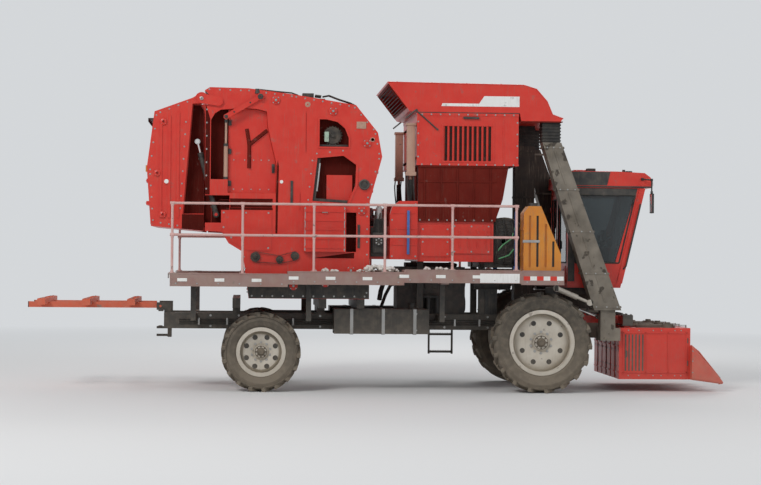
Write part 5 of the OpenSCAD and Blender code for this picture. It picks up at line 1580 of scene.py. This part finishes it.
    def make_door(self) -> None:
        """Builds the door's handle, lock and seal."""
        handle, seal, panel = Shape(), Shape(), Shape()
        handle.box((0.488, 0.24, 2.28), (0.5, 0.29, 2.4), 0.004)
        handle.tube([(0.492, 0.265, 2.26), (0.455, 0.265, 2.28), (0.455, 0.265, 2.4), (0.492, 0.265, 2.42)],
            0.009)
        handle.rod((0.49, 0.31, 2.22), (0.5, 0.31, 2.22), 0.014)
        seal.loop([(0.502, 0.28, 2.05), (0.502, 0.72, 2.05), (0.502, 0.72, 3.09), (0.502, 0.28, 3.09)], 0.01)
        panel.box((0.494, 0.27, 1.78), (0.501, 0.73, 2), 0.003)
        panel.bolts([(0.494, y, z) for y in (0.3, 0.7) for z in (1.8, 1.98)], 0.007, axis=Axis.X)
        handle.finish("door_handle", "black_plastic", "cab_door")
        seal.finish("door_seal", "boot_rubber", "cab_door")
        panel.finish("door_panel", "red_paint", "cab_door")

    def make_mirrors(self) -> None:
        """Builds the mirror glass, the shells and the arm clamps."""
        glass, shells = Shape(), Shape()
        glass.box((1.782, -1.2, 2.865), (1.786, -1.06, 3.145), 0.001)
        shells.box((1.812, -1.212, 2.848), (1.822, -1.048, 3.162), 0.004)
        shells.posts(((1.8, -1.13, 3.16), 0.04, 0.02), ((1.8, -1.13, 3.36), 0.04, 0.02))
        shells.rod((1.7, -0.876, 3.4), (1.702, -0.92, 3.398), 0.02)
        glass.pair("mirror_glass", "black_plastic", look="mirror_glass")
        shells.pair("mirror_shells", "black_plastic")


@dataclass
class Header(Assembly):
    """Ribs, hoses, springs, spindles, columns and wear strips of the picking units.

    The middle unit's details are built first and then copied to the other two.
    """

    pitch: float = 0.76
    half: float = 0.34
    rear: float = 1.3
    top: float = 1.02
    rotors: tuple = ((2.12, -0.155), (1.64, 0.155))

    def on_units(self, shape: Shape, name: str, slot: str) -> None:
        """Copies the middle unit's solids to the other two and dresses them."""
        shape.copied(-self.pitch, self.pitch).finish(name, slot, "header")

    def make_cabinets(self) -> None:
        """Builds ribs, doors, hinges and bolts on the units' sides."""
        ribs, bolts, black = Shape(), Shape(), Shape()
        y = -self.half
        for x in (1.36, 1.72, 2.08, 2.38):
            ribs.box((x, y - 0.012, 0.27), (x + 0.02, y, 0.97), 0.003)
        for z in (0.3, 0.93):
            ribs.box((1.34, y - 0.012, z), (2.41, y, z + 0.02), 0.003)
        for z in (0.3, 0.72):
            ribs.box((self.rear - 0.012, -0.32, z), (self.rear + 0.001, -0.07, z + 0.02), 0.002)
        for k in range(6):
            black.box((1.395 + 0.055 * k, y - 0.006, 0.335), (1.417 + 0.055 * k, y, 0.915), 0.001)
        for z in (0.42, 0.78):
            black.post((2.405, y - 0.008, z), 0.08, 0.009, 12)
        black.box((1.4, y - 0.018, 0.55), (1.43, y, 0.66), 0.004)
        black.box((1.32, -0.075, 0.192), (2.43, -0.055, 0.201), 0.002)
        bolts.bolts([(x, y - 0.002, z) for x in (1.45, 1.62, 1.85, 1.98, 2.2, 2.3) for z in (0.26, 0.98)],
            0.007)
        bolts.bolts([(self.rear, y, z) for y in (-0.29, -0.1) for z in (0.4, 0.66)], axis=Axis.X)
        self.on_units(ribs.mirrored(), "unit_ribs", "red_paint")
        self.on_units(bolts.mirrored(), "unit_bolts", "roller_steel")
        self.on_units(black.mirrored(), "unit_hinges", "chassis_black")

    def make_tops(self) -> None:
        """Builds the gearboxes, shafts, pipes and springs on the units' tops."""
        cases, pipes, springs = Shape(), Shape(), Shape()
        top = self.top
        for x, y in self.rotors:
            cases.posts(((x, y, top), 0.055, 0.11, 32, 0.1), ((x, y, top + 0.055), 0.03, 0.05, 24, 0.042))
            cases.bolts(circle((x, y, top + 0.055), 0.078, 8, axis=Axis.Z), 0.007, 1, Axis.Z)
        cases.box((1.6, -0.19, top), (2.16, -0.13, top + 0.05), 0.01)
        cases.box((1.7, 0.05, top), (1.95, 0.15, top + 0.06), 0.012)
        cases.rod((1.54, -0.16, top + 0.035), (1.62, -0.16, top + 0.035), 0.022)
        for y in (0.2, 0.235, 0.27):
            pipes.tube([(1.55, y, top + 0.02), (1.75, y, top + 0.03), (2.05, y - 0.02, top + 0.03),
                        (2.28, y - 0.06, top + 0.01)], 0.009)
        for y in (-0.24, 0.24):
            springs.tube(self.coil((2.3, y, top + 0.03), 0.22, 0.018, 12), 0.0035, 6)
            springs.posts(((2.22, y, top - 0.002), 0.052, 0.01, 10), ((2.4, y, top - 0.002), 0.052, 0.01,
                10))
        self.on_units(cases, "unit_gearboxes", "axle_iron")
        self.on_units(pipes, "unit_pipes", "boot_rubber")
        self.on_units(springs, "unit_springs", "roller_steel")

    @staticmethod
    def coil(centre: Point, length: float, radius: float, turns: int) -> list[Point]:
        """Gives the route of a coil spring along X.

        Args:
            centre: its middle.
            length: from end to end.
            radius: from its axis to the wire.
            turns: how many turns.

        Returns:
            The route.
        """
        steps = turns * 10
        return [(centre[0] - length / 2 + length * k / steps, centre[1] + radius * math.cos(math.pi * k / 5),
                 centre[2] + radius * math.sin(math.pi * k / 5)) for k in range(steps + 1)]

    def make_insides(self) -> None:
        """Builds the doffer stacks, moisture columns and plant guide bars by the crop passage."""
        doffers, guides = Shape(), Shape()
        for x, y, side in ((1.99, -0.275, -1), (1.51, 0.275, 1)):
            doffers.post((x, y, 0.22), 0.76, 0.012, 12)
            for k in range(16):
                doffers.post((x, y, 0.25 + 0.042 * k), 0.018, 0.045, 20)
            doffers.box((x + 0.245, y - side * 0.03, 0.25), (x + 0.265, y - side * 0.01, 0.95), 0.003)
        for k in range(5):
            z = 0.24 + 0.12 * k
            guides.tube([(2.44, -0.06, z), (2, -0.057, z), (1.4, -0.057, z)], 0.004, 6)
        self.on_units(doffers, "doffers", "black_plastic")
        self.on_units(guides.mirrored(), "plant_guides", "roller_steel")

    def make_dividers(self) -> None:
        """Builds wear edges, seams and bolts on the dividers."""
        edges, bolts = Shape(), Shape()
        for y, half in ((-1.05, 0.205), (-0.38, 0.295)):
            edges.tube([(2.47, y, 0.744), (2.6, y, 0.64), (2.95, y, 0.215)], 0.012, 8)
            edges.rod((2.93, y, 0.152), (2.985, y, 0.15), 0.034, 16, 0.016)
            for side in (-1, 1):
                edges.tube([(2.455, y + side * (half - 0.06), 0.742), (2.975, y + side * 0.008, 0.178)],
                    0.009, 8)
                bolts.bolts([(2.46, y + side * (half - 0.02), z) for z in (0.32, 0.5, 0.66)], sign=side)
        edges.pair("divider_edges", "divider_paint", "header")
        bolts.pair("divider_bolts", "roller_steel", "header")

    def make_toolbar(self) -> None:
        """Builds clamps, end plates, pin collars and lines on the toolbar."""
        clamps, collars, lines = Shape(), Shape(), Shape()
        clamps.boxes(
            ((1.358, -0.255, 1.048), (1.532, -0.145, 1.062), 0.003),
            ((1.358, -0.255, 1.208), (1.532, -0.145, 1.222), 0.003))
        clamps.bolts([(x, y, 1.222) for x in (1.375, 1.515) for y in (-0.235, -0.165)], 0.01, 1, Axis.Z)
        clamps.mirrored().copied(-self.pitch, self.pitch)
        for y in (-1.066, 1.066):
            clamps.box((1.362, y - 0.006, 1.052), (1.528, y + 0.006, 1.218), 0.004)
        for y in (-0.731, -0.649):
            collars.ring((0.1, y, 1.15), 0.05, 0.008, 28)
        lines.tube([(0.3, -0.62, 1.235), (0.7, -0.62, 1.24), (1.2, -0.62, 1.235), (1.42, -0.62, 1.232)],
            0.012)
        lines.tube([(1.42, -0.62, 1.232), (1.44, -0.45, 1.235), (1.44, -0.1, 1.235)], 0.012)
        clamps.finish("toolbar_clamps", "chassis_black", "header")
        collars.pair("lift_pin_collars", "axle_iron", "header")
        lines.pair("toolbar_lines", "boot_rubber", "header")

    def make_rotors(self) -> None:
        """Builds the cams, nuts and barbed tips of the picking rotors."""
        for unit, centre in (("right", -self.pitch), ("middle", 0), ("left", self.pitch)):
            for end, (x, shift) in zip(("front", "rear"), self.rotors):
                shape, y = Shape(), centre + shift
                for z in (0.245, 0.57, 0.91):
                    shape.lathe((x, y, z), [(0.022, 0), (0.055, 0), (0.05, 0.012), (0.022, 0.014)], 24, 1,
                        Axis.Z)
                for z in (0.3, 0.42, 0.54, 0.66, 0.78):
                    near, far = (circle((x, y, z), radius, 12, axis=Axis.Z) for radius in (0.094, 0.099))
                    shape.rods(*((a, b, 0.0105, 8, 0.0095) for a, b in zip(near, far)))
                shape.finish(f"spindle_nuts_{unit}_{end}", "rotor_steel", f"rotor_{unit}_{end}")


@dataclass
class Underbody(Assembly):
    """Pipes, tanks' straps, engine details, final drives and steering gear below the decks."""

    def make_pipes(self) -> None:
        """Builds the hydraulic pipes and their clips along the frame rails."""
        pipes, clips, bolts = Shape(), Shape(), Shape()
        for z in (1.1, 1.065, 1.03):
            pipes.tube([(-5.7, -0.622, z), (-3.35, -0.622, z), (-3.3, -0.63, z), (-1.65, -0.622, z),
                (0.2, -0.622, z)], 0.01)
        for y in (-0.15, -0.05):
            pipes.tube([(-4.5, y, 1.22), (-3, y, 1.22), (-2.3, y, 1.22)], 0.012)
        for x in (-5.4, -4.95, -4.2, -3.9, -1.3, -0.9, -0.4):
            clips.box((x, -0.642, 1.01), (x + 0.03, -0.608, 1.12), 0.004)
        bolts.bolts([(x, -0.61, z) for x in (-5.2, -4.75, -3.45, -1.45, -0.75, 0.1) for z in (0.99, 1.16)],
            0.012)
        pipes.pair("rail_pipes", "boot_rubber")
        clips.pair("pipe_clips", "roller_steel")
        bolts.pair("frame_bolts", "roller_steel")

    def make_tanks(self) -> None:
        """Builds the tanks' straps, caps and drain plugs, the amber tank's fittings, and black stripes that
        paint the shade in its grooves.
        """
        straps, caps, amber = Shape(), Shape(), Shape()
        for x in (-3, -2.5, -2):
            straps.boxes(((x, -1.156, 0.892), (x + 0.05, -1.15, 1.298), 0.002),
                ((x, -1.156, 0.89), (x + 0.05, -0.62, 0.899), 0.002), ((x, -1.156, 1.291),
                (x + 0.05, -0.62, 1.298), 0.002))
        straps.mirrored()
        for side, front in ((1, -1.7), (-1, -1.75)):
            straps.bolts([(front - 0.2, side * 1.15, z) for z in (0.96, 1.22)], 0.01, side)
            caps.post((front - 0.5, side * 0.8, 0.9), -0.015, 0.02, 6)
        straps.box((-0.345, -1.69, 2.36), (-0.08, -1.682, 2.4), 0.002)
        caps.posts(
            ((-2, 1, 1.29), 0.05, 0.05, 24), ((-2, 1, 1.34), 0.03, 0.062, 24, 0.058),
            ((-2, -0.9, 1.359), 0.026, 0.066, 24, 0.06), ((-0.16, -1.485, 2.93), 0.045, 0.075, 28, 0.07))
        caps.ring((-0.16, -1.485, 2.975), 0.064, 0.008, 28, Axis.Z)
        caps.rod((0.262, -1.35, 2), (0.3, -1.35, 2), 0.018, 14)
        # Two black stripes paint the shade in the amber tank's grooves.
        caps.boxes(((-0.131, -1.658, 1.985), (-0.093, -1.6545, 2.78)), ((0.119, -1.658, 1.985),
            (0.157, -1.6545, 2.38)))
        for z in (2.15, 2.55):
            amber.box((-0.338, -1.686, z), (-0.325, -1.284, z + 0.05), 0.004)
        amber.finish("amber_tank_bands", "amber_plastic")
        straps.finish("tank_straps", "roller_steel")
        caps.finish("tank_caps", "black_plastic")

    def make_engine(self) -> None:
        """Builds the engine's covers, pulleys, filters and pipes round its block."""
        block, filters, pipes = Shape(), Shape(), Shape()
        block.boxes(((-2.05, -0.2, 1.96), (-1.25, 0.2, 2.03), 0.02), ((-2.15, -0.34, 1.1),
            (-1.2, 0.34, 1.142), 0.02))
        block.rod((-1.98, 0.45, 1.76), (-1.3, 0.45, 1.76), 0.045, 20)
        for k in range(6):
            x = -2 + 0.125 * k
            block.box((x, -0.4, 1.62), (x + 0.08, -0.38, 1.88), 0.01)
            block.rod((x + 0.04, 0.385, 1.8), (x + 0.04, 0.43, 1.78), 0.028)
        for y, z, radius in ((0, 1.35, 0.12), (0, 1.72, 0.09), (0.24, 1.55, 0.06)):
            block.lathe((-1.09, y, z), [(0.02, 0), (radius, 0), (radius - 0.015, 0.012), (radius, 0.024),
                                        (radius, 0.034), (0.02, 0.034)], 36, 1, Axis.X)
        block.tube([(-1.075, 0.11, 1.36), (-1.075, 0.3, 1.56), (-1.075, 0.22, 1.61), (-1.075, 0.09, 1.74),
                    (-1.075, -0.09, 1.74), (-1.075, -0.12, 1.34)], 0.009, 8)
        for x in (-1.85, -1.7, -1.55):
            filters.posts(((x, -0.45, 1.22), 0.2, 0.05, 24), ((x, -0.45, 1.42), 0.04, 0.06, 24))
        filters.box((-1.92, -0.5, 1.46), (-1.48, -0.375, 1.5), 0.01)
        pipes.tubes(
            ([(-1.3, 0.45, 1.8), (-1.22, 0.45, 1.9), (-1.18, 0.3, 1.99), (-1.3, 0.1, 2.01)], 0.03, 14),
            ([(-2.2, -0.2, 1.7), (-2.3, -0.22, 1.65), (-2.38, -0.25, 1.5), (-2.45, -0.25, 1.3)], 0.028, 12))
        block.finish("engine_covers", "engine_iron")
        filters.finish("engine_filters", "black_plastic")
        pipes.finish("engine_pipes", "boot_rubber")

    def make_axles(self) -> None:
        """Builds the final drives, axle bolts, steering cylinder and tie rod."""
        iron, steel, rods = Shape(), Shape(), Shape()
        iron.lathe((0, -0.86, 0.79), [(0.128, 0), (0.2, 0.03), (0.21, 0.08), (0.21, 0.17), (0.19, 0.2),
                                        (0.128, 0.205)], 48)
        iron.lathe((-4.4, -1, 0.715), [(0.034, 0), (0.07, 0), (0.062, 0.008), (0.034, 0.01)], sign=1,
            axis=Axis.Z)
        iron.mirrored().ring((0, 0, 0.79), 0.193, 0.018, 48)
        iron.rod((-4.52, -0.24, 0.66), (-4.52, 0.24, 0.66), 0.035, 24)
        iron.box((-4.56, -0.1, 0.6), (-4.48, 0.1, 0.72), 0.008)
        steel.bolts(circle((0, -1.065, 0.79), 0.165, 12), 0.011)
        steel.bolts([(x, -0.55, 0.765) for x in (-0.11, 0.11)], 0.014, axis=Axis.Z)
        steel.mirrored().bolts(circle((0, -0.1, 0.79), 0.15, 10), 0.01)
        rods.stubs(((-4.52, -0.24, 0.66), -0.18, 0.017), ((-4.52, -0.4, 0.66), -0.05, 0.028))
        iron.finish("final_drives", "axle_iron")
        steel.finish("axle_bolts", "roller_steel")
        rods.pair("steering_rods", "rod_chrome")
        for side in Side:
            sign, name = side.value, side.name.lower()
            arm = Shape().box((-4.5, sign * 0.93, 0.742), (-4.34, sign * 1.09, 0.775), 0.008)
            arm.bolts([(x, sign * y, 0.775) for x, y in ((-4.36, 0.96), (-4.36, 1.06), (-4.45, 1.06))], 0.01,
                1, Axis.Z)
            arm.finish(f"knuckle_plate_{name}", "axle_iron", f"knuckle_{name}")

    def make_exhaust(self) -> None:
        """Builds the exhaust, silencer and air cleaner beside the feeder."""
        pipe, cleaner = Shape(), Shape()
        pipe.rod((-2.15, 0.5, 1.72), (-1.35, 0.5, 1.72), 0.085, 28)
        pipe.tube([(-2.13, 0.5, 1.72), (-2.28, 0.5, 1.72), (-2.36, 0.52, 1.68), (-2.4, 0.55, 1.55),
            (-2.42, 0.6, 1.4)], 0.04, 16)
        cleaner.rods(
            ((-0.98, -0.55, 1.72), (-0.42, -0.55, 1.72), 0.12, 32),
            ((-0.42, -0.55, 1.72), (-0.38, -0.55, 1.72), 0.125, 32, 0.11))
        for x in (-0.85, -0.55):
            cleaner.ring((x, -0.55, 1.72), 0.123, 0.007, axis=Axis.X)
        cleaner.box((-0.8, -0.62, 1.2), (-0.6, -0.48, 1.62), 0.01)
        pipe.finish("exhaust", "engine_iron")
        cleaner.finish("air_cleaner", "black_plastic")

    def make_rear(self) -> None:
        """Builds the rear lamps, hitch pin collar and ramp stops."""
        lamps, red, iron = Shape(), Shape(), Shape()
        lamps.box((-5.842, -1.725, 1.8), (-5.828, -1.615, 1.832), 0.003)
        red.box((-5.842, -1.725, 1.772), (-5.828, -1.615, 1.797), 0.003)
        iron.boxes(((-5.84, -1.737, 1.762), (-5.832, -1.603, 1.846), 0.002), ((-6.03, -0.6, 1.22),
            (-5.95, -0.555, 1.26), 0.004))
        iron.mirrored().lathe((-6.02, 0, 0.961), [(0.018, 0), (0.036, 0), (0.033, 0.01), (0.018, 0.012)],
            sign=1, axis=Axis.Z)
        lamps.pair("rear_lamps", "amber_plastic")
        red.pair("rear_lamps_red", "lamp_lens", look="red_paint")
        iron.finish("rear_fittings", "chassis_black")


@dataclass
class Cylinders(Assembly):
    """Glands, ports and eye caps of the hydraulic cylinders, and the belt tension gear."""

    def make_pairs(self) -> None:
        """Builds the tailgate's and the header's cylinders."""
        self.dress("gate", "tailgate", (-5.12, -1.13, 2.76), (-5.42, -1.13, 3.9), 0.042, 1)
        self.dress("lift", "lift", (0.28, -0.8, 1.45), (1, -0.8, 1.19), 0.04, 0.43)

    @staticmethod
    def dress(name: str, body: str, base: Point, eye: Point, radius: float, length: float) -> None:
        """Builds the fittings of a pair of cylinders.

        Args:
            name: a name for the pieces.
            body: the start of its bodies' names.
            base: the right cylinder's base pin.
            eye: the right rod's pin.
            radius: the barrel's radius.
            length: from the base pin to the barrel's end.
        """
        start, end, out = Vector(base), Vector(eye), Vector((0, -0.031, 0))
        run = (end - start).normalized()
        up = Vector((-run.z, 0, run.x))
        shape = Shape().lathe(start + out, [(0.027, 0), (0.04, 0), (0.036, 0.006), (0.027, 0.006)], 24)
        for near, far, extra in ((length - 0.06, length, 0.006), (0.06, 0.085, 0.004)):
            shape.rod(start + run * near, start + run * far, radius + extra, 28)
        for place in (0.13, length - 0.09):
            port = start + run * place + up * (radius - 0.003)
            shape.rod(port, port + up * 0.014, 0.014, 12)
        shape.pair(f"{name}_cylinder_fittings", "chassis_black", f"{body}_barrels")
        caps = Shape().lathe(end + out, [(0.006, 0), (0.034, 0), (0.03, 0.006), (0.006, 0.007)], 24)
        caps.pair(f"{name}_rod_caps", "rod_chrome", f"{body}_rods")

    def make_tension(self) -> None:
        """Builds the collars and pins of the belt tension gear."""
        shape = Shape().posts(
            ((-4.975, -1.2, 3.83), 0.042, 0.038, 24), ((-4.975, -1.2, 3.312), 0.038, 0.037, 24),
            ((-4.975, -1.2, 4.2), 0.045, 0.026, 20))
        shape.lathe((-4.975, -1.29, 4.29), [(0.008, 0), (0.03, 0), (0.026, 0.01), (0.008, 0.012)], 24)
        shape.lathe((-4.44, -1.304, 4.61), [(0.01, 0), (0.045, 0), (0.04, 0.012), (0.01, 0.014)], 28)
        shape.bolts([(-4.85, -1.289, 4.365), (-4.6, -1.289, 4.514)], 0.009)
        shape.pair("tension_fittings", "chassis_black")


@dataclass
class Cotton(Assembly):
    """Loose tufts of cotton left on the decks."""

    patches: tuple = ((-2.9, -2.25, -1.42, 60), (-3.6, -3.2, -1.5, 12), (-1.9, -1.5, -1.45, 10))

    def make_tufts(self) -> None:
        """Builds the tufts."""
        shape = Shape()
        for x0, x1, y, count in self.patches:
            for _ in range(count):
                share = random.random()
                x = x0 + (x1 - x0) * share
                pile = math.sin(math.pi * share)
                size = random.uniform(0.02, 0.045) * (0.6 + 0.6 * pile)
                z = Decks.top(x) + size * 0.55 + random.random() * 0.07 * pile * (count > 30)
                place = at(x, y + random.uniform(-0.11, 0.11), z)
                matrix = Matrix.Translation(place)
                made = bmesh.ops.create_icosphere(shape.mesh, subdivisions=2, radius=size, matrix=matrix)
                for vert in made["verts"]:
                    push = (vert.co - place) * (1.0 + random.uniform(-0.25, 0.25))
                    push.z *= 0.75
                    vert.co = place + push
        shape.finish("cotton_tufts", "rail_paint", smooth=80, look="cotton")


@dataclass
class Studio:
    """Floor, light and the camera at the photograph's viewpoint."""

    eye: Point = (-4.656, -31.767, 2.17)
    aim: Point = (-2.45, 0.0, 2.35)
    roll: float = 0.5
    lens: float = 92.0
    floor_half: float = 400.0
    floor_colour: Colour = (0.8, 0.79, 0.77)
    backdrop: Colour = (0.66, 0.68, 0.7)
    sky: Colour = (0.82, 0.86, 0.92)
    sky_strength: float = 0.5
    blend: Place = (9.0, 26.0)
    lamps: tuple = (("key", (-14.0, -17.0, 18.0), 7.0, 2700.0), ("fill", (16.0, -15.0, 9.0), 10.0, 650.0),
                    ("rim", (4.0, 16.0, 14.0), 9.0, 1000.0))

    def build(self) -> None:
        """Makes the floor, the world, the lamps and the camera."""
        bpy.context.scene.view_settings.view_transform = "Standard"
        self.build_camera()
        self.build_floor()
        self.build_world()
        for name, place, size, power in self.lamps:
            data = bpy.data.lights.new(name, "AREA")
            data.size = size
            data.energy = power
            self.add(name, data, Vector(place), Vector((0.0, 0.0, 2.0)))

    @staticmethod
    def add(name: str, data: bpy.types.ID, place: Vector, aim: Vector,
            roll: float = 0.0) -> bpy.types.Object:
        """Adds a lamp or camera that looks at a place.

        Args:
            name: its name.
            data: the lamp or camera.
            place: where it stands.
            aim: where it looks.
            roll: how far it leans, in degrees.

        Returns:
            The new object.
        """
        item = bpy.data.objects.new(name, data)
        bpy.context.scene.collection.objects.link(item)
        item.location = place
        item.rotation_mode = "QUATERNION"
        lean = Matrix.Rotation(math.radians(roll), 4, "Z").to_quaternion()
        item.rotation_quaternion = (aim - place).to_track_quat("-Z", "Y") @ lean
        return item

    def build_camera(self) -> None:
        """Puts the camera where the photograph was taken from, aimed at the machine."""
        data = bpy.data.cameras.new("camera")
        data.lens = self.lens
        data.clip_end = 500.0
        bpy.context.scene.camera = self.add("camera", data, at(*self.eye), at(*self.aim), self.roll)

    def build_floor(self) -> None:
        """Makes a wide pale floor that fades into the backdrop far away."""
        data = bpy.data.meshes.new("floor")
        half = self.floor_half
        data.from_pydata([(-half, -half, 0), (half, -half, 0), (half, half, 0), (-half, half, 0)], [],
            [(0, 1, 2, 3)])
        floor = bpy.data.objects.new("floor", data)
        bpy.context.scene.collection.objects.link(floor)
        material = bpy.data.materials.new("floor")
        material.use_nodes = True
        tree = Wiring(material.node_tree)
        shader = material.node_tree.nodes["Principled BSDF"]
        tree.fill(shader, {"Base Color": self.floor_colour, "Roughness": 0.9})
        away = tree.node("VectorMath", {0: tree.place()}, operation="LENGTH").outputs["Value"]
        seen = tree.math("MULTIPLY", tree.ramp(away, *self.blend), self.backdrop_rays(tree))
        glow = tree.node("Emission", {"Color": self.backdrop}).outputs["Emission"]
        self.blend_shaders(tree, "Material Output", seen, shader.outputs["BSDF"], glow)
        data.materials.append(material)

    @staticmethod
    def blend_shaders(tree: Wiring, output: str, mask: Socket, base: Socket, over: Socket) -> None:
        """Sends a mix of two shaders to the output.

        Args:
            tree: the tree.
            output: the name of its output node.
            mask: where the second shader shows.
            base: the first shader.
            over: the second shader.
        """
        mix = tree.node("MixShader", {0: mask, 1: base, 2: over}).outputs["Shader"]
        tree.fill(tree.tree.nodes[output], {"Surface": mix})

    @staticmethod
    def backdrop_rays(tree: Wiring) -> Socket:
        """Gives 1 for rays from the camera, off gloss and through glass, which meet the plain backdrop."""
        rays = tree.node("LightPath", {}).outputs
        gloss = tree.math("MAXIMUM", rays["Is Camera Ray"], rays["Is Glossy Ray"])
        return tree.math("MAXIMUM", gloss, rays["Is Transmission Ray"])

    def build_world(self) -> None:
        """Makes a soft pale sky that shows as a plain backdrop."""
        world = bpy.data.worlds.new("studio")
        bpy.context.scene.world = world
        world.use_nodes = True
        tree = Wiring(world.node_tree)
        light = world.node_tree.nodes["Background"]
        tree.fill(light, {"Color": self.sky, "Strength": self.sky_strength})
        seen = tree.node("Background", {"Color": self.backdrop}).outputs["Background"]
        self.blend_shaders(tree, "World Output", self.backdrop_rays(tree), light.outputs["Background"], seen)


def main() -> None:
    """Dresses the machine, sub-assembly by sub-assembly."""
    random.seed(7)
    Palette.dress_nodes()
    for assembly in (Wheels(), Decks(), Handrails(), Baler(), Tailgate(), BaleRamp(), CottonBox(), Feeder(),
            Ducts(), Cab(), Header(), Underbody(), Cylinders(), Cotton()):
        assembly.build()
    Studio().build()


if __name__ == "__main__":
    main()
